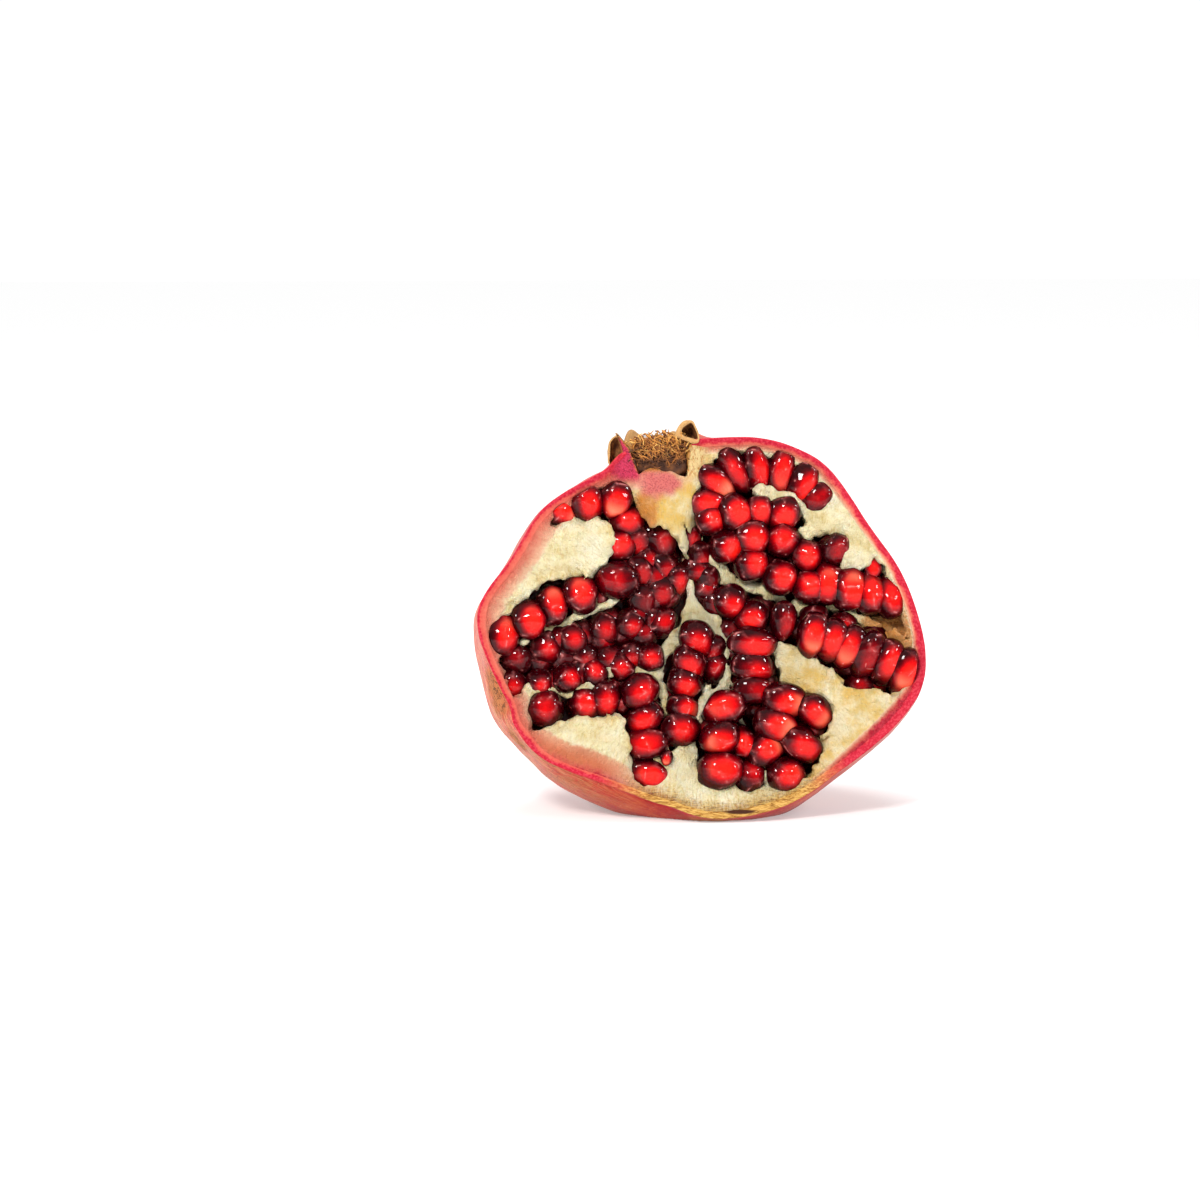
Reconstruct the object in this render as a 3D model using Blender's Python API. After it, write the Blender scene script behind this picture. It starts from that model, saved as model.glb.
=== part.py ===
"""A pomegranate opened lengthways, standing on the flattened underside of its skin.

The cut face looks along -Y and leans back a little. Everything is laid out first on that
face, in millimetres: u runs to the right, w up towards the crown and v into the fruit. The
function in_row() then stands the fruit up in metres, with +Z up and the origin at the
centre of the flat spot that it rests on.
"""

import math
import random

import bmesh
import bpy
import numpy as np
from mathutils import Vector

MM = 0.001
SHARP_ANGLE = math.radians(40)

# How the opened fruit stands.
LEAN_BACK_DEG = 12.0
FLAT_DEPTH = 5.2
FLAT_CENTRE_Y = 16.5

# The skin: where it was cut, and how wide the fruit is at its girth, a little way behind.
CUT_OUTLINE = [
    (54.8, -3.5), (50.2, 12.6), (41.8, 26), (33, 38.7), (25.5, 44.4), (14.2, 47.7), (-0.5, 47),
    (-13, 43.4), (-22, 40.6), (-29.3, 36.9), (-39.6, 29.9), (-47.4, 17.8), (-54.4, 7.7),
    (-55.2, 0), (-52, -10), (-48, -18), (-46.5, -23.5), (-39.5, -31.5), (-23.5, -37.5),
    (-10.5, -42.5), (1.5, -46.5), (19, -43.5), (35, -34), (47, -24.5), (54, -14.5),
]
GIRTH_OUTLINE = [
    (55.8, -3.5), (51.2, 13), (42.8, 26.8), (34, 39.8), (26.2, 45.6), (14.5, 48.9), (-0.5, 48.2),
    (-13.2, 44.4), (-22.4, 41.4), (-29.8, 37.6), (-40.1, 30.3), (-47.9, 18), (-54.7, 7.7),
    (-55.6, 0), (-54.2, -9), (-51.4, -19.3), (-46.2, -26.6), (-37.6, -35.6), (-28.6, -41.2),
    (-17, -45.6), (0, -48.6), (20, -45.6), (36, -35), (48, -25), (55, -14.8),
]
SKIN_DEPTH = 64.0
GIRTH_DEPTH = 15.0
RIND_THICKNESS = 2.0
RIBS = 6
RIB_HEIGHT = 0.9
RIB_AXIS_V = 15.0
RIB_REACH_W = 50.0
SKIN_AROUND = 48
SKIN_BACK = 11

# The pith: a dished front with a chamber cut for each cluster of arils.
GAP = 0.35
DISH_EDGE_V = 1.0
DISH_DEPTH = 4.5
DISH_RINGS = 6
CHAMBER_FLOOR_V = 14.0
CHAMBER_FRONT_V = -9.0

# The crown: the cup of the old flower, opened by the same cut. Its wall is given by heights
# and by its outer and inner radius there.
CROWN_U, CROWN_V = -9.4, 2.6
CROWN_LEAN = 0.12
CROWN_FOOT = [(36.0, 6.4), (37.6, 8.4)]
CROWN_WALL = [(40.0, 8.7, 6.4), (44.5, 9.4, 8.0), (46.8, 10.9, 9.6)]
CROWN_CUT_V = 0.3
SEPALS = 6
SEPAL_HEIGHTS = [4.2, 2.4, 2.0, 2.2, 0.0, 0.0]
SEPAL_CURL = 1.4
CROWN_AROUND = 36

# The dry tuft in the crown: its matted core by rise and share of the cup's width, and the
# filaments that stand out of it.
TUFT_CORE = [(0.4, 0.6), (1.6, 0.9), (4.0, 1.1), (6.2, 0.95)]
STAMENS = 64
STAMEN_RADIUS = 0.45
STAMEN_LENGTHS = (4.5, 7.5)
STAMEN_TOP_W = 49.6
STAMEN_SEED = 5

# Each chamber: its outline on the cut face, and how far forward the mass of arils comes
# that the visible ones stand out of.
CHAMBERS = {
    "left": {
        "core_v": 6.6,
        "outline": [
            (-36.5, 26.5), (-31.5, 30.5), (-28.3, 32.8), (-24, 35), (-19.5, 35.3), (-16, 33),
            (-14.5, 29), (-12, 26.5), (-7.5, 25.5), (-4.5, 21), (-3, 14.5), (-3, 8.5),
            (-5, 3), (-9.5, -2.5), (-12, -8), (-16.5, -8.5), (-20.5, -7.5), (-25.5, -10),
            (-30, -13.5), (-35, -13.5), (-39.5, -12), (-43, -12.5), (-45, -16), (-48, -13.5),
            (-49.5, -8.5), (-49.5, -5.5), (-46, -5.5), (-42.5, -2.5), (-34.5, 0.5),
            (-24, 5.5), (-18.5, 8.5), (-20.5, 9.5), (-25, 7.5), (-35.5, 2.5), (-43.5, -1),
            (-47.5, -4), (-50, -3), (-50.5, 2.5), (-47, 5.5), (-42.5, 9), (-38.5, 12.5),
            (-33, 14), (-27, 13), (-24.5, 15.5), (-20, 23), (-22, 27.5), (-26, 29),
            (-31.5, 28),
        ],
    },
    "right": {
        "core_v": 5.6,
        "outline": [
            (-4, 26), (-0.5, 22), (2.5, 16.5), (7, 10.5), (15, 8.5), (24, 4), (30, 5),
            (35.5, 4), (41.5, -0.5), (48, -4.5), (50.5, -7.5), (51, -12.5), (48.5, -16),
            (46, -16.5), (43, -15), (35.5, -14.5), (34, -10.5), (30, -8.5), (25, -3.5),
            (19, -2.5), (17, -4.5), (19, -9.5), (19.5, -14.5), (26, -15.5), (31, -18.5),
            (31.5, -24), (29, -27.5), (28.5, -32.5), (25, -36), (20, -38.5), (16.5, -37),
            (14, -32.5), (12, -26.5), (9.5, -20), (7.5, -14.5), (7, -8.5), (7, -2.5), (5, 3),
            (0.5, 8), (-1.5, 13.5), (-3, 20),
        ],
    },
    "centre": {
        "core_v": 7.0,
        "outline": [
            (0, 0.5), (3, -1.5), (5.5, -5.5), (5.5, -10.5), (3, -14), (2, -11.5), (0, -11.5),
            (0, -15), (-1.5, -20), (-3, -24.5), (-6, -27.5), (-9, -30), (-9.5, -26),
            (-8, -20), (-9, -14.5), (-10, -10.5), (-7.5, -5.5), (-3.5, -2),
        ],
    },
    "bottom": {
        "core_v": 5.4,
        "outline": [
            (4.5, -15.5), (7.5, -19), (10, -24), (11.5, -29), (13.5, -34), (14, -37.5),
            (10.5, -40), (7, -38.5), (2.5, -38.5), (-0.5, -35.5), (-1.5, -30.5),
            (-1.5, -26.5), (0.5, -21),
        ],
    },
    "lower_left": {
        "core_v": 7.0,
        "outline": [
            (-43, -19), (-42, -16.5), (-38.5, -14.5), (-34.5, -16), (-30, -16.5), (-26, -14),
            (-21.5, -11), (-16.5, -11.5), (-12.5, -13), (-11, -17), (-10, -22.5),
            (-11, -28.5), (-12.5, -33), (-11.5, -36.5), (-14.5, -38), (-17, -36),
            (-17.5, -30.5), (-19, -20.5), (-25.5, -20), (-31.5, -21), (-39, -23.5),
            (-42, -24),
        ],
    },
    "upper_right": {
        "core_v": 6.0,
        "outline": [
            (0.5, 37), (1.5, 40.5), (4, 42.7), (8.5, 43.5), (13.5, 43.5), (18.5, 42),
            (23.5, 40.5), (27, 38), (30.5, 35), (31.5, 32), (30, 30), (26, 31.5), (18.5, 35.5),
            (14.5, 36), (13, 34.5), (15.5, 31.5), (21, 31.5), (24.5, 29.5), (25.5, 26),
            (24, 24), (28, 22.5), (31.5, 23.5), (35, 22), (35.5, 18.5), (34.5, 15.5),
            (37.5, 14), (42, 14.5), (43, 17.5), (46, 14), (48, 10), (49.5, 4.5), (50.5, -2),
            (48, -1), (41.5, 3), (36, 6.5), (30.5, 8), (25.5, 7), (20, 9.5), (15, 12),
            (10.5, 13.5), (6, 17), (2, 21.5), (0, 26.5), (-0.5, 32),
        ],
    },
}

# Arils grow in rows along the pith and the membranes. Each row gives the chamber it is in,
# its first and last place on the face, how far it bows sideways, how many there are, the
# heading of the first and last one from root to tip, how steeply they point out of the
# face, the depth of their middles, and their length and width.
ARIL_ROWS = [
    ("left", (-33.2, 29.9), (-21.0, 32.2), 0.6, 4, (120, 75), 25, 5.0, (9.0, 6.6)),
    ("left", (-18.5, 27.0), (-20.5, 21.0), 0.0, 2, (5, 20), 35, 6.0, (9.5, 7.2)),
    ("left", (-49.0, 0.5), (-30.0, 10.0), 0.5, 4, (-95, -65), 20, 5.0, (11.0, 7.8)),
    ("left", (-21.0, 13.0), (-21.0, 13.0), 0.0, 1, (-10, -10), 15, 4.6, (11.5, 8.4)),
    ("left", (-9.5, 22.5), (-9.5, 10.0), 0.6, 3, (90, 90), 65, 8.4, (10.0, 7.6)),
    ("left", (-15.5, 22.5), (-14.2, 7.5), 0.0, 3, (100, 80), 60, 8.6, (10.0, 7.4)),
    ("left", (-5.5, 13.0), (-5.5, 13.0), 0.0, 1, (90, 90), 40, 7.6, (9.0, 6.2)),
    ("left", (-45.5, -6.0), (-10.0, 2.5), 1.2, 6, (170, 20), 72, 8.2, (10.0, 7.4)),
    ("left", (-47.0, -12.5), (-13.3, -6.0), -1.2, 6, (200, 340), 72, 8.0, (10.0, 7.0)),
    ("lower_left", (-39.0, -19.0), (-39.0, -19.0), 0.0, 1, (95, 95), 30, 6.0, (9.8, 8.2)),
    ("lower_left", (-29.0, -18.0), (-23.5, -16.5), 0.0, 2, (100, 80), 35, 6.0, (9.2, 7.0)),
    ("lower_left", (-15.5, -15.0), (-14.0, -34.5), 0.6, 4, (45, -10), 25, 5.2, (10.5, 7.8)),
    ("centre", (-0.5, -2.0), (-5.5, -24.0), -0.8, 5, (130, 170), 42, 6.4, (9.5, 7.4)),
    ("centre", (3.0, -4.5), (3.2, -9.5), 0.0, 2, (70, 60), 55, 8.4, (9.0, 6.4)),
    ("bottom", (4.8, -19.0), (3.8, -34.0), 0.0, 3, (15, -10), 22, 3.8, (10.6, 8.0)),
    ("bottom", (9.4, -27.5), (11.0, -35.6), 0.0, 2, (-50, -65), 35, 5.0, (9.0, 6.8)),
    ("right", (-2.4, 22.5), (2.0, 12.5), 0.4, 3, (105, 95), 42, 7.6, (9.6, 5.8)),
    ("right", (7.5, 7.0), (12.2, 3.4), 0.0, 2, (150, 30), 50, 6.8, (9.6, 7.4)),
    ("right", (12.8, -2.6), (13.2, -14.8), 0.0, 3, (180, 175), 18, 4.8, (11.8, 7.4)),
    ("right", (20.5, -17.4), (27.6, -20.4), 0.0, 2, (170, 150), 20, 3.8, (11.0, 7.6)),
    ("right", (17.6, -23.6), (24.2, -28.2), 0.0, 2, (170, 160), 22, 3.4, (11.6, 8.2)),
    ("right", (15.6, -29.4), (20.4, -35.6), 0.0, 2, (200, 215), 30, 4.2, (10.0, 7.6)),
    ("right", (20.4, 2.0), (20.4, 2.0), 0.0, 1, (90, 90), 20, 4.6, (11.0, 6.4)),
    ("right", (27.4, -1.4), (50.0, -11.0), 0.6, 6, (76, 60), 20, 3.8, (11.8, 7.4)),
    ("right", (27.6, 2.6), (42.0, -3.2), 0.4, 3, (60, 40), 45, 7.2, (9.4, 7.0)),
    ("upper_right", (3.6, 33.6), (28.0, 34.2), 6.4, 5, (180, 42), 18, 4.0, (11.8, 8.0)),
    ("upper_right", (3.2, 27.4), (20.8, 28.4), 1.4, 4, (165, 60), 55, 4.4, (10.0, 7.6)),
    ("upper_right", (6.4, 20.8), (20.4, 22.2), 1.6, 3, (200, 60), 72, 4.8, (10.4, 8.0)),
    ("upper_right", (12.8, 17.0), (26.6, 10.6), -0.4, 3, (250, 290), 72, 5.2, (10.4, 8.0)),
    ("upper_right", (26.6, 18.6), (33.0, 20.0), 0.0, 2, (120, 60), 55, 4.4, (9.8, 7.2)),
    ("upper_right", (32.0, 12.4), (47.0, 8.4), -0.6, 4, (-100, -80), 18, 4.6, (11.2, 7.6)),
    ("upper_right", (43.0, 15.6), (43.0, 15.6), 0.0, 1, (-90, -90), 20, 4.4, (6.0, 4.2)),
]
ARIL_SIDES = 6
ARIL_WIDTHS = [(0.10, 0.42), (0.38, 0.86), (0.72, 1.0), (0.93, 0.62)]
ARIL_JITTER = 0.35
ARIL_SEED = 11

COLOURS = {
    "rind": ((0.62, 0.06, 0.07), 0.45),
    "pith": ((0.86, 0.78, 0.52), 0.75),
    "arils": ((0.36, 0.01, 0.02), 0.12),
    "stamens": ((0.42, 0.24, 0.08), 0.85),
}


def smooth_step(value, low, high):
    t = np.clip((value - low) / (high - low), 0, 1)
    return t * t * (3 - 2 * t)


def closed_spline(points, steps=16):
    """A Catmull-Rom curve through the points and back to the first one."""
    p = np.array(points, float)
    before, after, beyond = np.roll(p, 1, 0), np.roll(p, -1, 0), np.roll(p, -2, 0)
    curve = []
    for t in np.arange(steps) / steps:
        curve.append(
            0.5 * (
                2 * p + (after - before) * t
                + (2 * before - 5 * p + 4 * after - beyond) * t**2
                + (3 * p - before - 3 * after + beyond) * t**3
            )
        )
    return np.stack(curve, 1).reshape(-1, 2)


def outline_radius(outline, angle):
    """Distance from the middle of the face to an outline, by angle."""
    curve = closed_spline(outline)
    angles = np.arctan2(curve[:, 1], curve[:, 0])
    return np.interp(angle, angles, np.hypot(curve[:, 0], curve[:, 1]), period=2 * math.pi)


def skin_point(angle, back, inset):
    """u, w, v on the skin or that far under it. back runs from the cut, 0, to the back, 1."""
    widest = outline_radius(GIRTH_OUTLINE, angle)
    cut_turn = np.arccos(outline_radius(CUT_OUTLINE, angle) / widest)
    turn = -cut_turn + back * (cut_turn + math.pi / 2)
    front_reach = GIRTH_DEPTH / np.sin(cut_turn)
    back_reach = SKIN_DEPTH - GIRTH_DEPTH - inset
    radius = (widest - inset) * np.cos(turn)
    u, w = radius * np.cos(angle), radius * np.sin(angle)
    v = GIRTH_DEPTH + np.where(turn < 0, front_reach, back_reach) * np.sin(turn)
    around = np.arctan2(v - RIB_AXIS_V, u)
    rib = RIB_HEIGHT / RIB_REACH_W * np.cos(RIBS * around + math.pi / 2)
    rib *= np.clip(1 - (w / RIB_REACH_W) ** 2, 0, 1) * smooth_step(v, 2, 16)
    return np.array([u * (1 + rib), w, RIB_AXIS_V + (v - RIB_AXIS_V) * (1 + rib)])


def leaned(point):
    """The face's u, w, v as x, y, z, leaning back, still in millimetres."""
    lean = math.radians(LEAN_BACK_DEG)
    u, w, v = point
    return np.array([
        u,
        w * math.sin(lean) + v * math.cos(lean),
        w * math.cos(lean) - v * math.sin(lean),
    ])


def lowest_skin():
    angles = np.linspace(0, 2 * math.pi, 181)
    return min(leaned(skin_point(angles, back, 0))[2].min() for back in np.linspace(0, 1, 61))


FLOOR_Z = lowest_skin() + FLAT_DEPTH


def in_row(point, above_floor=0.0):
    """A point of the face standing in the row frame, in metres, kept above the flat spot."""
    x, y, z = leaned(point)
    return Vector((x, y - FLAT_CENTRE_Y, max(z - FLOOR_Z, above_floor))) * MM


def material(name):
    colour, roughness = COLOURS[name]
    made = bpy.data.materials.new(name)
    made.use_nodes = True
    shader = made.node_tree.nodes["Principled BSDF"]
    shader.inputs["Base Color"].default_value = (*colour, 1)
    shader.inputs["Roughness"].default_value = roughness
    shader.inputs["Metallic"].default_value = 0
    return made


def new_object(name, bm, surface):
    """An object made from the bmesh, with its faces turned outwards."""
    bmesh.ops.recalc_face_normals(bm, faces=bm.faces)
    mesh = bpy.data.meshes.new(name)
    bm.to_mesh(mesh)
    bm.free()
    made = bpy.data.objects.new(name, mesh)
    bpy.context.scene.collection.objects.link(made)
    mesh.materials.append(surface)
    return made


def apply_modifiers(made):
    """Replaces the object's mesh by what its modifiers make of it."""
    bpy.context.view_layer.update()
    graph = bpy.context.evaluated_depsgraph_get()
    mesh = bpy.data.meshes.new_from_object(made.evaluated_get(graph))
    made.modifiers.clear()
    made.data = mesh


def combine(made, other, operation):
    """A Boolean of made with one object or with a collection, which is then removed.

    The EXACT solver leaves open edges where many arils cross, so this uses MANIFOLD.
    """
    step = made.modifiers.new(operation.lower(), "BOOLEAN")
    step.operation = operation
    step.solver = "MANIFOLD"
    if isinstance(other, bpy.types.Collection):
        step.operand_type = "COLLECTION"
        step.collection = other
    else:
        step.object = other
    apply_modifiers(made)
    if isinstance(other, bpy.types.Collection):
        for member in list(other.objects):
            bpy.data.objects.remove(member)
        bpy.data.collections.remove(other)
    else:
        bpy.data.objects.remove(other)


def keep_largest_body(made):
    """Drops loose scraps that a Boolean has cut off."""
    bm = bmesh.new()
    bm.from_mesh(made.data)
    left, bodies = set(bm.verts), []
    while left:
        body, edge = set(), [left.pop()]
        while edge:
            vert = edge.pop()
            body.add(vert)
            for link in vert.link_edges:
                other = link.other_vert(vert)
                if other in left:
                    left.discard(other)
                    edge.append(other)
        bodies.append(body)
    largest = max(bodies, key=len)
    bmesh.ops.delete(bm, geom=[v for v in bm.verts if v not in largest], context="VERTS")
    bm.to_mesh(made.data)
    bm.free()


def add_ring(bm, points):
    return [bm.verts.new(p) for p in points]


def join_rings(bm, first, second):
    count = len(first)
    for i in range(count):
        j = (i + 1) % count
        bm.faces.new((first[i], first[j], second[j], second[i]))


def close_with_fan(bm, ring, point):
    tip = bm.verts.new(point)
    for i, vert in enumerate(ring):
        bm.faces.new((vert, ring[(i + 1) % len(ring)], tip))


def skin_rings(bm, inset, steps):
    """Rings of the skin, or of a surface under it, from the cut edge to the back."""
    angles = [2 * math.pi * i / SKIN_AROUND for i in range(SKIN_AROUND)]
    rings = []
    for k in range(steps):
        # Rings crowd towards the cut and the flat spot, where the shape turns fastest.
        back = (k / steps) ** 0.9
        rings.append(add_ring(bm, [in_row(skin_point(a, back, inset), inset) for a in angles]))
    for first, second in zip(rings, rings[1:]):
        join_rings(bm, first, second)
    close_with_fan(bm, rings[-1], in_row(skin_point(0.0, 1.0, inset), inset))
    return rings


def prism(outline, front_v, back_v):
    """A closed outline of the face, drawn out from one depth to another."""
    bm = bmesh.new()
    front = add_ring(bm, [in_row((u, w, front_v)) for u, w in outline])
    back = add_ring(bm, [in_row((u, w, back_v)) for u, w in outline])
    join_rings(bm, front, back)
    bm.faces.new(front)
    bm.faces.new(list(reversed(back)))
    bmesh.ops.triangulate(bm, faces=[f for f in bm.faces if len(f.verts) > 4])
    return bm


def shrink(outline, distance):
    """The outline moved inwards by that distance, with its corners kept."""
    p = np.array(outline, float)
    along = np.roll(p, -1, 0) - p
    along /= np.linalg.norm(along, axis=1)[:, None]
    inward = np.stack([-along[:, 1], along[:, 0]], 1)
    area = (p[:, 0] * np.roll(p[:, 1], -1) - np.roll(p[:, 0], -1) * p[:, 1]).sum()
    inward *= math.copysign(1, area)
    both = inward + np.roll(inward, 1, 0)
    both /= np.linalg.norm(both, axis=1)[:, None]
    reach = distance / np.clip((both * inward).sum(1), 0.6, 1)
    return p + both * reach[:, None]


def crown_point(radius, w, turn):
    """A point around the crown's axis, which leans a little to the left."""
    middle = CROWN_U - CROWN_LEAN * (w - CROWN_WALL[0][0])
    return in_row((middle + radius * math.cos(turn), w, CROWN_V + radius * math.sin(turn)))


def crown_ring(bm, radius, w, lift=0.0):
    """A ring of the crown. With a lift, it is drawn out and bent outwards into the sepals."""
    points = []
    for i in range(CROWN_AROUND):
        turn = 2 * math.pi * i / CROWN_AROUND
        place = turn / (2 * math.pi) * SEPALS
        nearest = round(place)
        tall = lift * SEPAL_HEIGHTS[nearest % SEPALS] * (1 - abs(place - nearest) * 2) ** 0.8
        points.append(crown_point(radius + SEPAL_CURL * tall / 4, w + tall, turn))
    return add_ring(bm, points)


def crown_shell():
    """The cup of the crown: a foot, a wall that flares, and a rim drawn out into sepals."""
    bm = bmesh.new()
    (floor_w, floor_out, floor_in), shoulder, rim = CROWN_WALL
    rings = [crown_ring(bm, radius, w) for w, radius in CROWN_FOOT]
    rings.append(crown_ring(bm, floor_out, floor_w))
    rings.append(crown_ring(bm, shoulder[1], shoulder[0]))
    rings.append(crown_ring(bm, rim[1], rim[0], 0.5))
    rings.append(crown_ring(bm, rim[1], rim[0] + 0.4, 1.0))
    rings.append(crown_ring(bm, rim[2], rim[0], 0.9))
    rings.append(crown_ring(bm, shoulder[2], shoulder[0]))
    rings.append(crown_ring(bm, floor_in, floor_w + 1))
    rings.append(crown_ring(bm, floor_in * 0.8, floor_w))
    for first, second in zip(rings, rings[1:]):
        join_rings(bm, first, second)
    close_with_fan(bm, rings[0], crown_point(0, CROWN_FOOT[0][0], 0))
    close_with_fan(bm, rings[-1], crown_point(0, floor_w, 0))
    return bm


def crown_room(outer_share, grow, foot_w):
    """What the crown takes the place of, out to a share of its wall, as a cutter."""
    bm = bmesh.new()
    (floor_w, floor_out, floor_in), shoulder, rim = CROWN_WALL
    levels = [(foot_w, floor_in + (floor_out - floor_in) * outer_share)]
    levels += [(w, inner + (outer - inner) * outer_share) for w, outer, inner in CROWN_WALL]
    levels.append((rim[0] + 8, rim[1] + 2))
    rings = [crown_ring(bm, radius + grow, w) for w, radius in levels]
    for first, second in zip(rings, rings[1:]):
        join_rings(bm, first, second)
    close_with_fan(bm, rings[0], crown_point(0, foot_w, 0))
    close_with_fan(bm, rings[-1], crown_point(0, rim[0] + 8, 0))
    return bm


def front_block(v):
    """Everything in front of the upper part of the face, as a cutter."""
    return prism([(-60, 10), (60, 10), (60, 90), (-60, 90)], -50, v)


def build_rind(surface):
    """The leathery skin as a bowl with a cut edge, grown together with the crown."""
    bm = bmesh.new()
    outside = skin_rings(bm, 0.0, SKIN_BACK)
    inside = skin_rings(bm, RIND_THICKNESS, SKIN_BACK - 2)
    join_rings(bm, inside[0], outside[0])
    rind = new_object("rind", bm, surface)
    room = crown_room(0.5, 0.0, CROWN_FOOT[1][0])
    combine(rind, new_object("room", room, surface), "DIFFERENCE")
    crown = new_object("crown", crown_shell(), surface)
    combine(crown, new_object("front", front_block(CROWN_CUT_V), surface), "DIFFERENCE")
    combine(rind, crown, "UNION")
    keep_largest_body(rind)


def dish_v(u, w):
    """Depth of the pith's front: level with the cut at the edge, lower in the middle."""
    share = math.hypot(u, w) / float(outline_radius(CUT_OUTLINE, math.atan2(w, u)))
    return DISH_EDGE_V + DISH_DEPTH * max(0.0, 1 - share**2)


def build_pith(surface):
    """The pale flesh inside the skin, with its chambers and the membranes between them."""
    bm = bmesh.new()
    inset = RIND_THICKNESS + GAP
    edge = skin_rings(bm, inset, SKIN_BACK - 2)[0]
    angles = [2 * math.pi * i / SKIN_AROUND for i in range(SKIN_AROUND)]
    for k in range(1, DISH_RINGS):
        share = 1 - k / DISH_RINGS
        points = []
        for angle in angles:
            u, w, _ = skin_point(angle, 0.0, inset) * share
            points.append(in_row((u, w, dish_v(u, w))))
        ring = add_ring(bm, points)
        join_rings(bm, ring, edge)
        edge = ring
    close_with_fan(bm, edge, in_row((0, 0, dish_v(0, 0))))
    pith = new_object("pith", bm, surface)
    room = crown_room(1.0, GAP, CROWN_FOOT[0][0] - GAP)
    combine(pith, new_object("room", room, surface), "DIFFERENCE")
    for name, chamber in CHAMBERS.items():
        cutter = prism(chamber["outline"], CHAMBER_FRONT_V, CHAMBER_FLOOR_V)
        combine(pith, new_object(name, cutter, surface), "DIFFERENCE")
    keep_largest_body(pith)


def aril_frame(heading_deg, rise_deg):
    """The aril's axis from root to tip and two directions across it, in u, w, v."""
    heading, rise = math.radians(heading_deg), math.radians(rise_deg)
    axis = Vector((
        math.cos(heading) * math.cos(rise), math.sin(heading) * math.cos(rise), -math.sin(rise)
    ))
    side = axis.cross(Vector((0, 0, 1)))
    side = side.normalized() if side.length > 0.01 else Vector((1, 0, 0))
    return axis, side, axis.cross(side)


def aril(middle, heading_deg, rise_deg, length, width, turn):
    """One aril: a drop with flattened sides, broad at the tip and narrow at the root."""
    bm = bmesh.new()
    axis, side, other = aril_frame(heading_deg, rise_deg)
    root = middle - axis * length / 2
    rings = []
    for share, wide in ARIL_WIDTHS:
        points = []
        for i in range(ARIL_SIDES):
            a = turn + 2 * math.pi * i / ARIL_SIDES
            across = side * math.cos(a) + other * math.sin(a)
            points.append(in_row(root + axis * length * share + across * width / 2 * wide))
        rings.append(add_ring(bm, points))
    for first, second in zip(rings, rings[1:]):
        join_rings(bm, first, second)
    close_with_fan(bm, rings[0], in_row(root))
    close_with_fan(bm, rings[-1], in_row(root + axis * length))
    return bm


def row_of_arils(row, draw):
    """Middles and headings of the arils in one row, with a little seeded disorder."""
    _, start, end, bow, count, headings, rise, depth, size = row
    start, end = Vector(start), Vector(end)
    across = Vector((start.y - end.y, end.x - start.x))
    across = across.normalized() if across.length > 0 else across
    for i in range(count):
        t = i / (count - 1) if count > 1 else 0.5
        place = start.lerp(end, t) + across * bow * 4 * t * (1 - t) * (count > 1)
        jitter = [draw.uniform(-1, 1) for _ in range(6)]
        middle = Vector((
            place.x + ARIL_JITTER * jitter[0],
            place.y + ARIL_JITTER * jitter[1],
            depth + ARIL_JITTER * jitter[2],
        ))
        heading = headings[0] + (headings[1] - headings[0]) * t + 8 * jitter[3]
        length, width = (s * (1 + 0.05 * jitter[4]) for s in size)
        yield middle, heading, rise + 5 * jitter[5], length, width, draw.uniform(0, math.pi)


def build_arils(surface):
    """For each chamber, one body of arils: those that show, standing out of the mass."""
    draw = random.Random(ARIL_SEED)
    clusters = {name: bpy.data.collections.new(name) for name in CHAMBERS}
    for row in ARIL_ROWS:
        for number, values in enumerate(row_of_arils(row, draw)):
            single = new_object(f"aril_{number}", aril(*values), surface)
            bpy.context.scene.collection.objects.unlink(single)
            clusters[row[0]].objects.link(single)
    for name, chamber in CHAMBERS.items():
        bpy.context.scene.collection.children.link(clusters[name])
        core = prism(
            shrink(chamber["outline"], 2 * GAP), chamber["core_v"], CHAMBER_FLOOR_V - GAP
        )
        cluster = new_object(f"arils_{name}", core, surface)
        combine(cluster, clusters[name], "UNION")
        room = prism(shrink(chamber["outline"], GAP), CHAMBER_FRONT_V, CHAMBER_FLOOR_V - GAP / 2)
        combine(cluster, new_object("room", room, surface), "INTERSECT")
        keep_largest_body(cluster)


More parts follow.
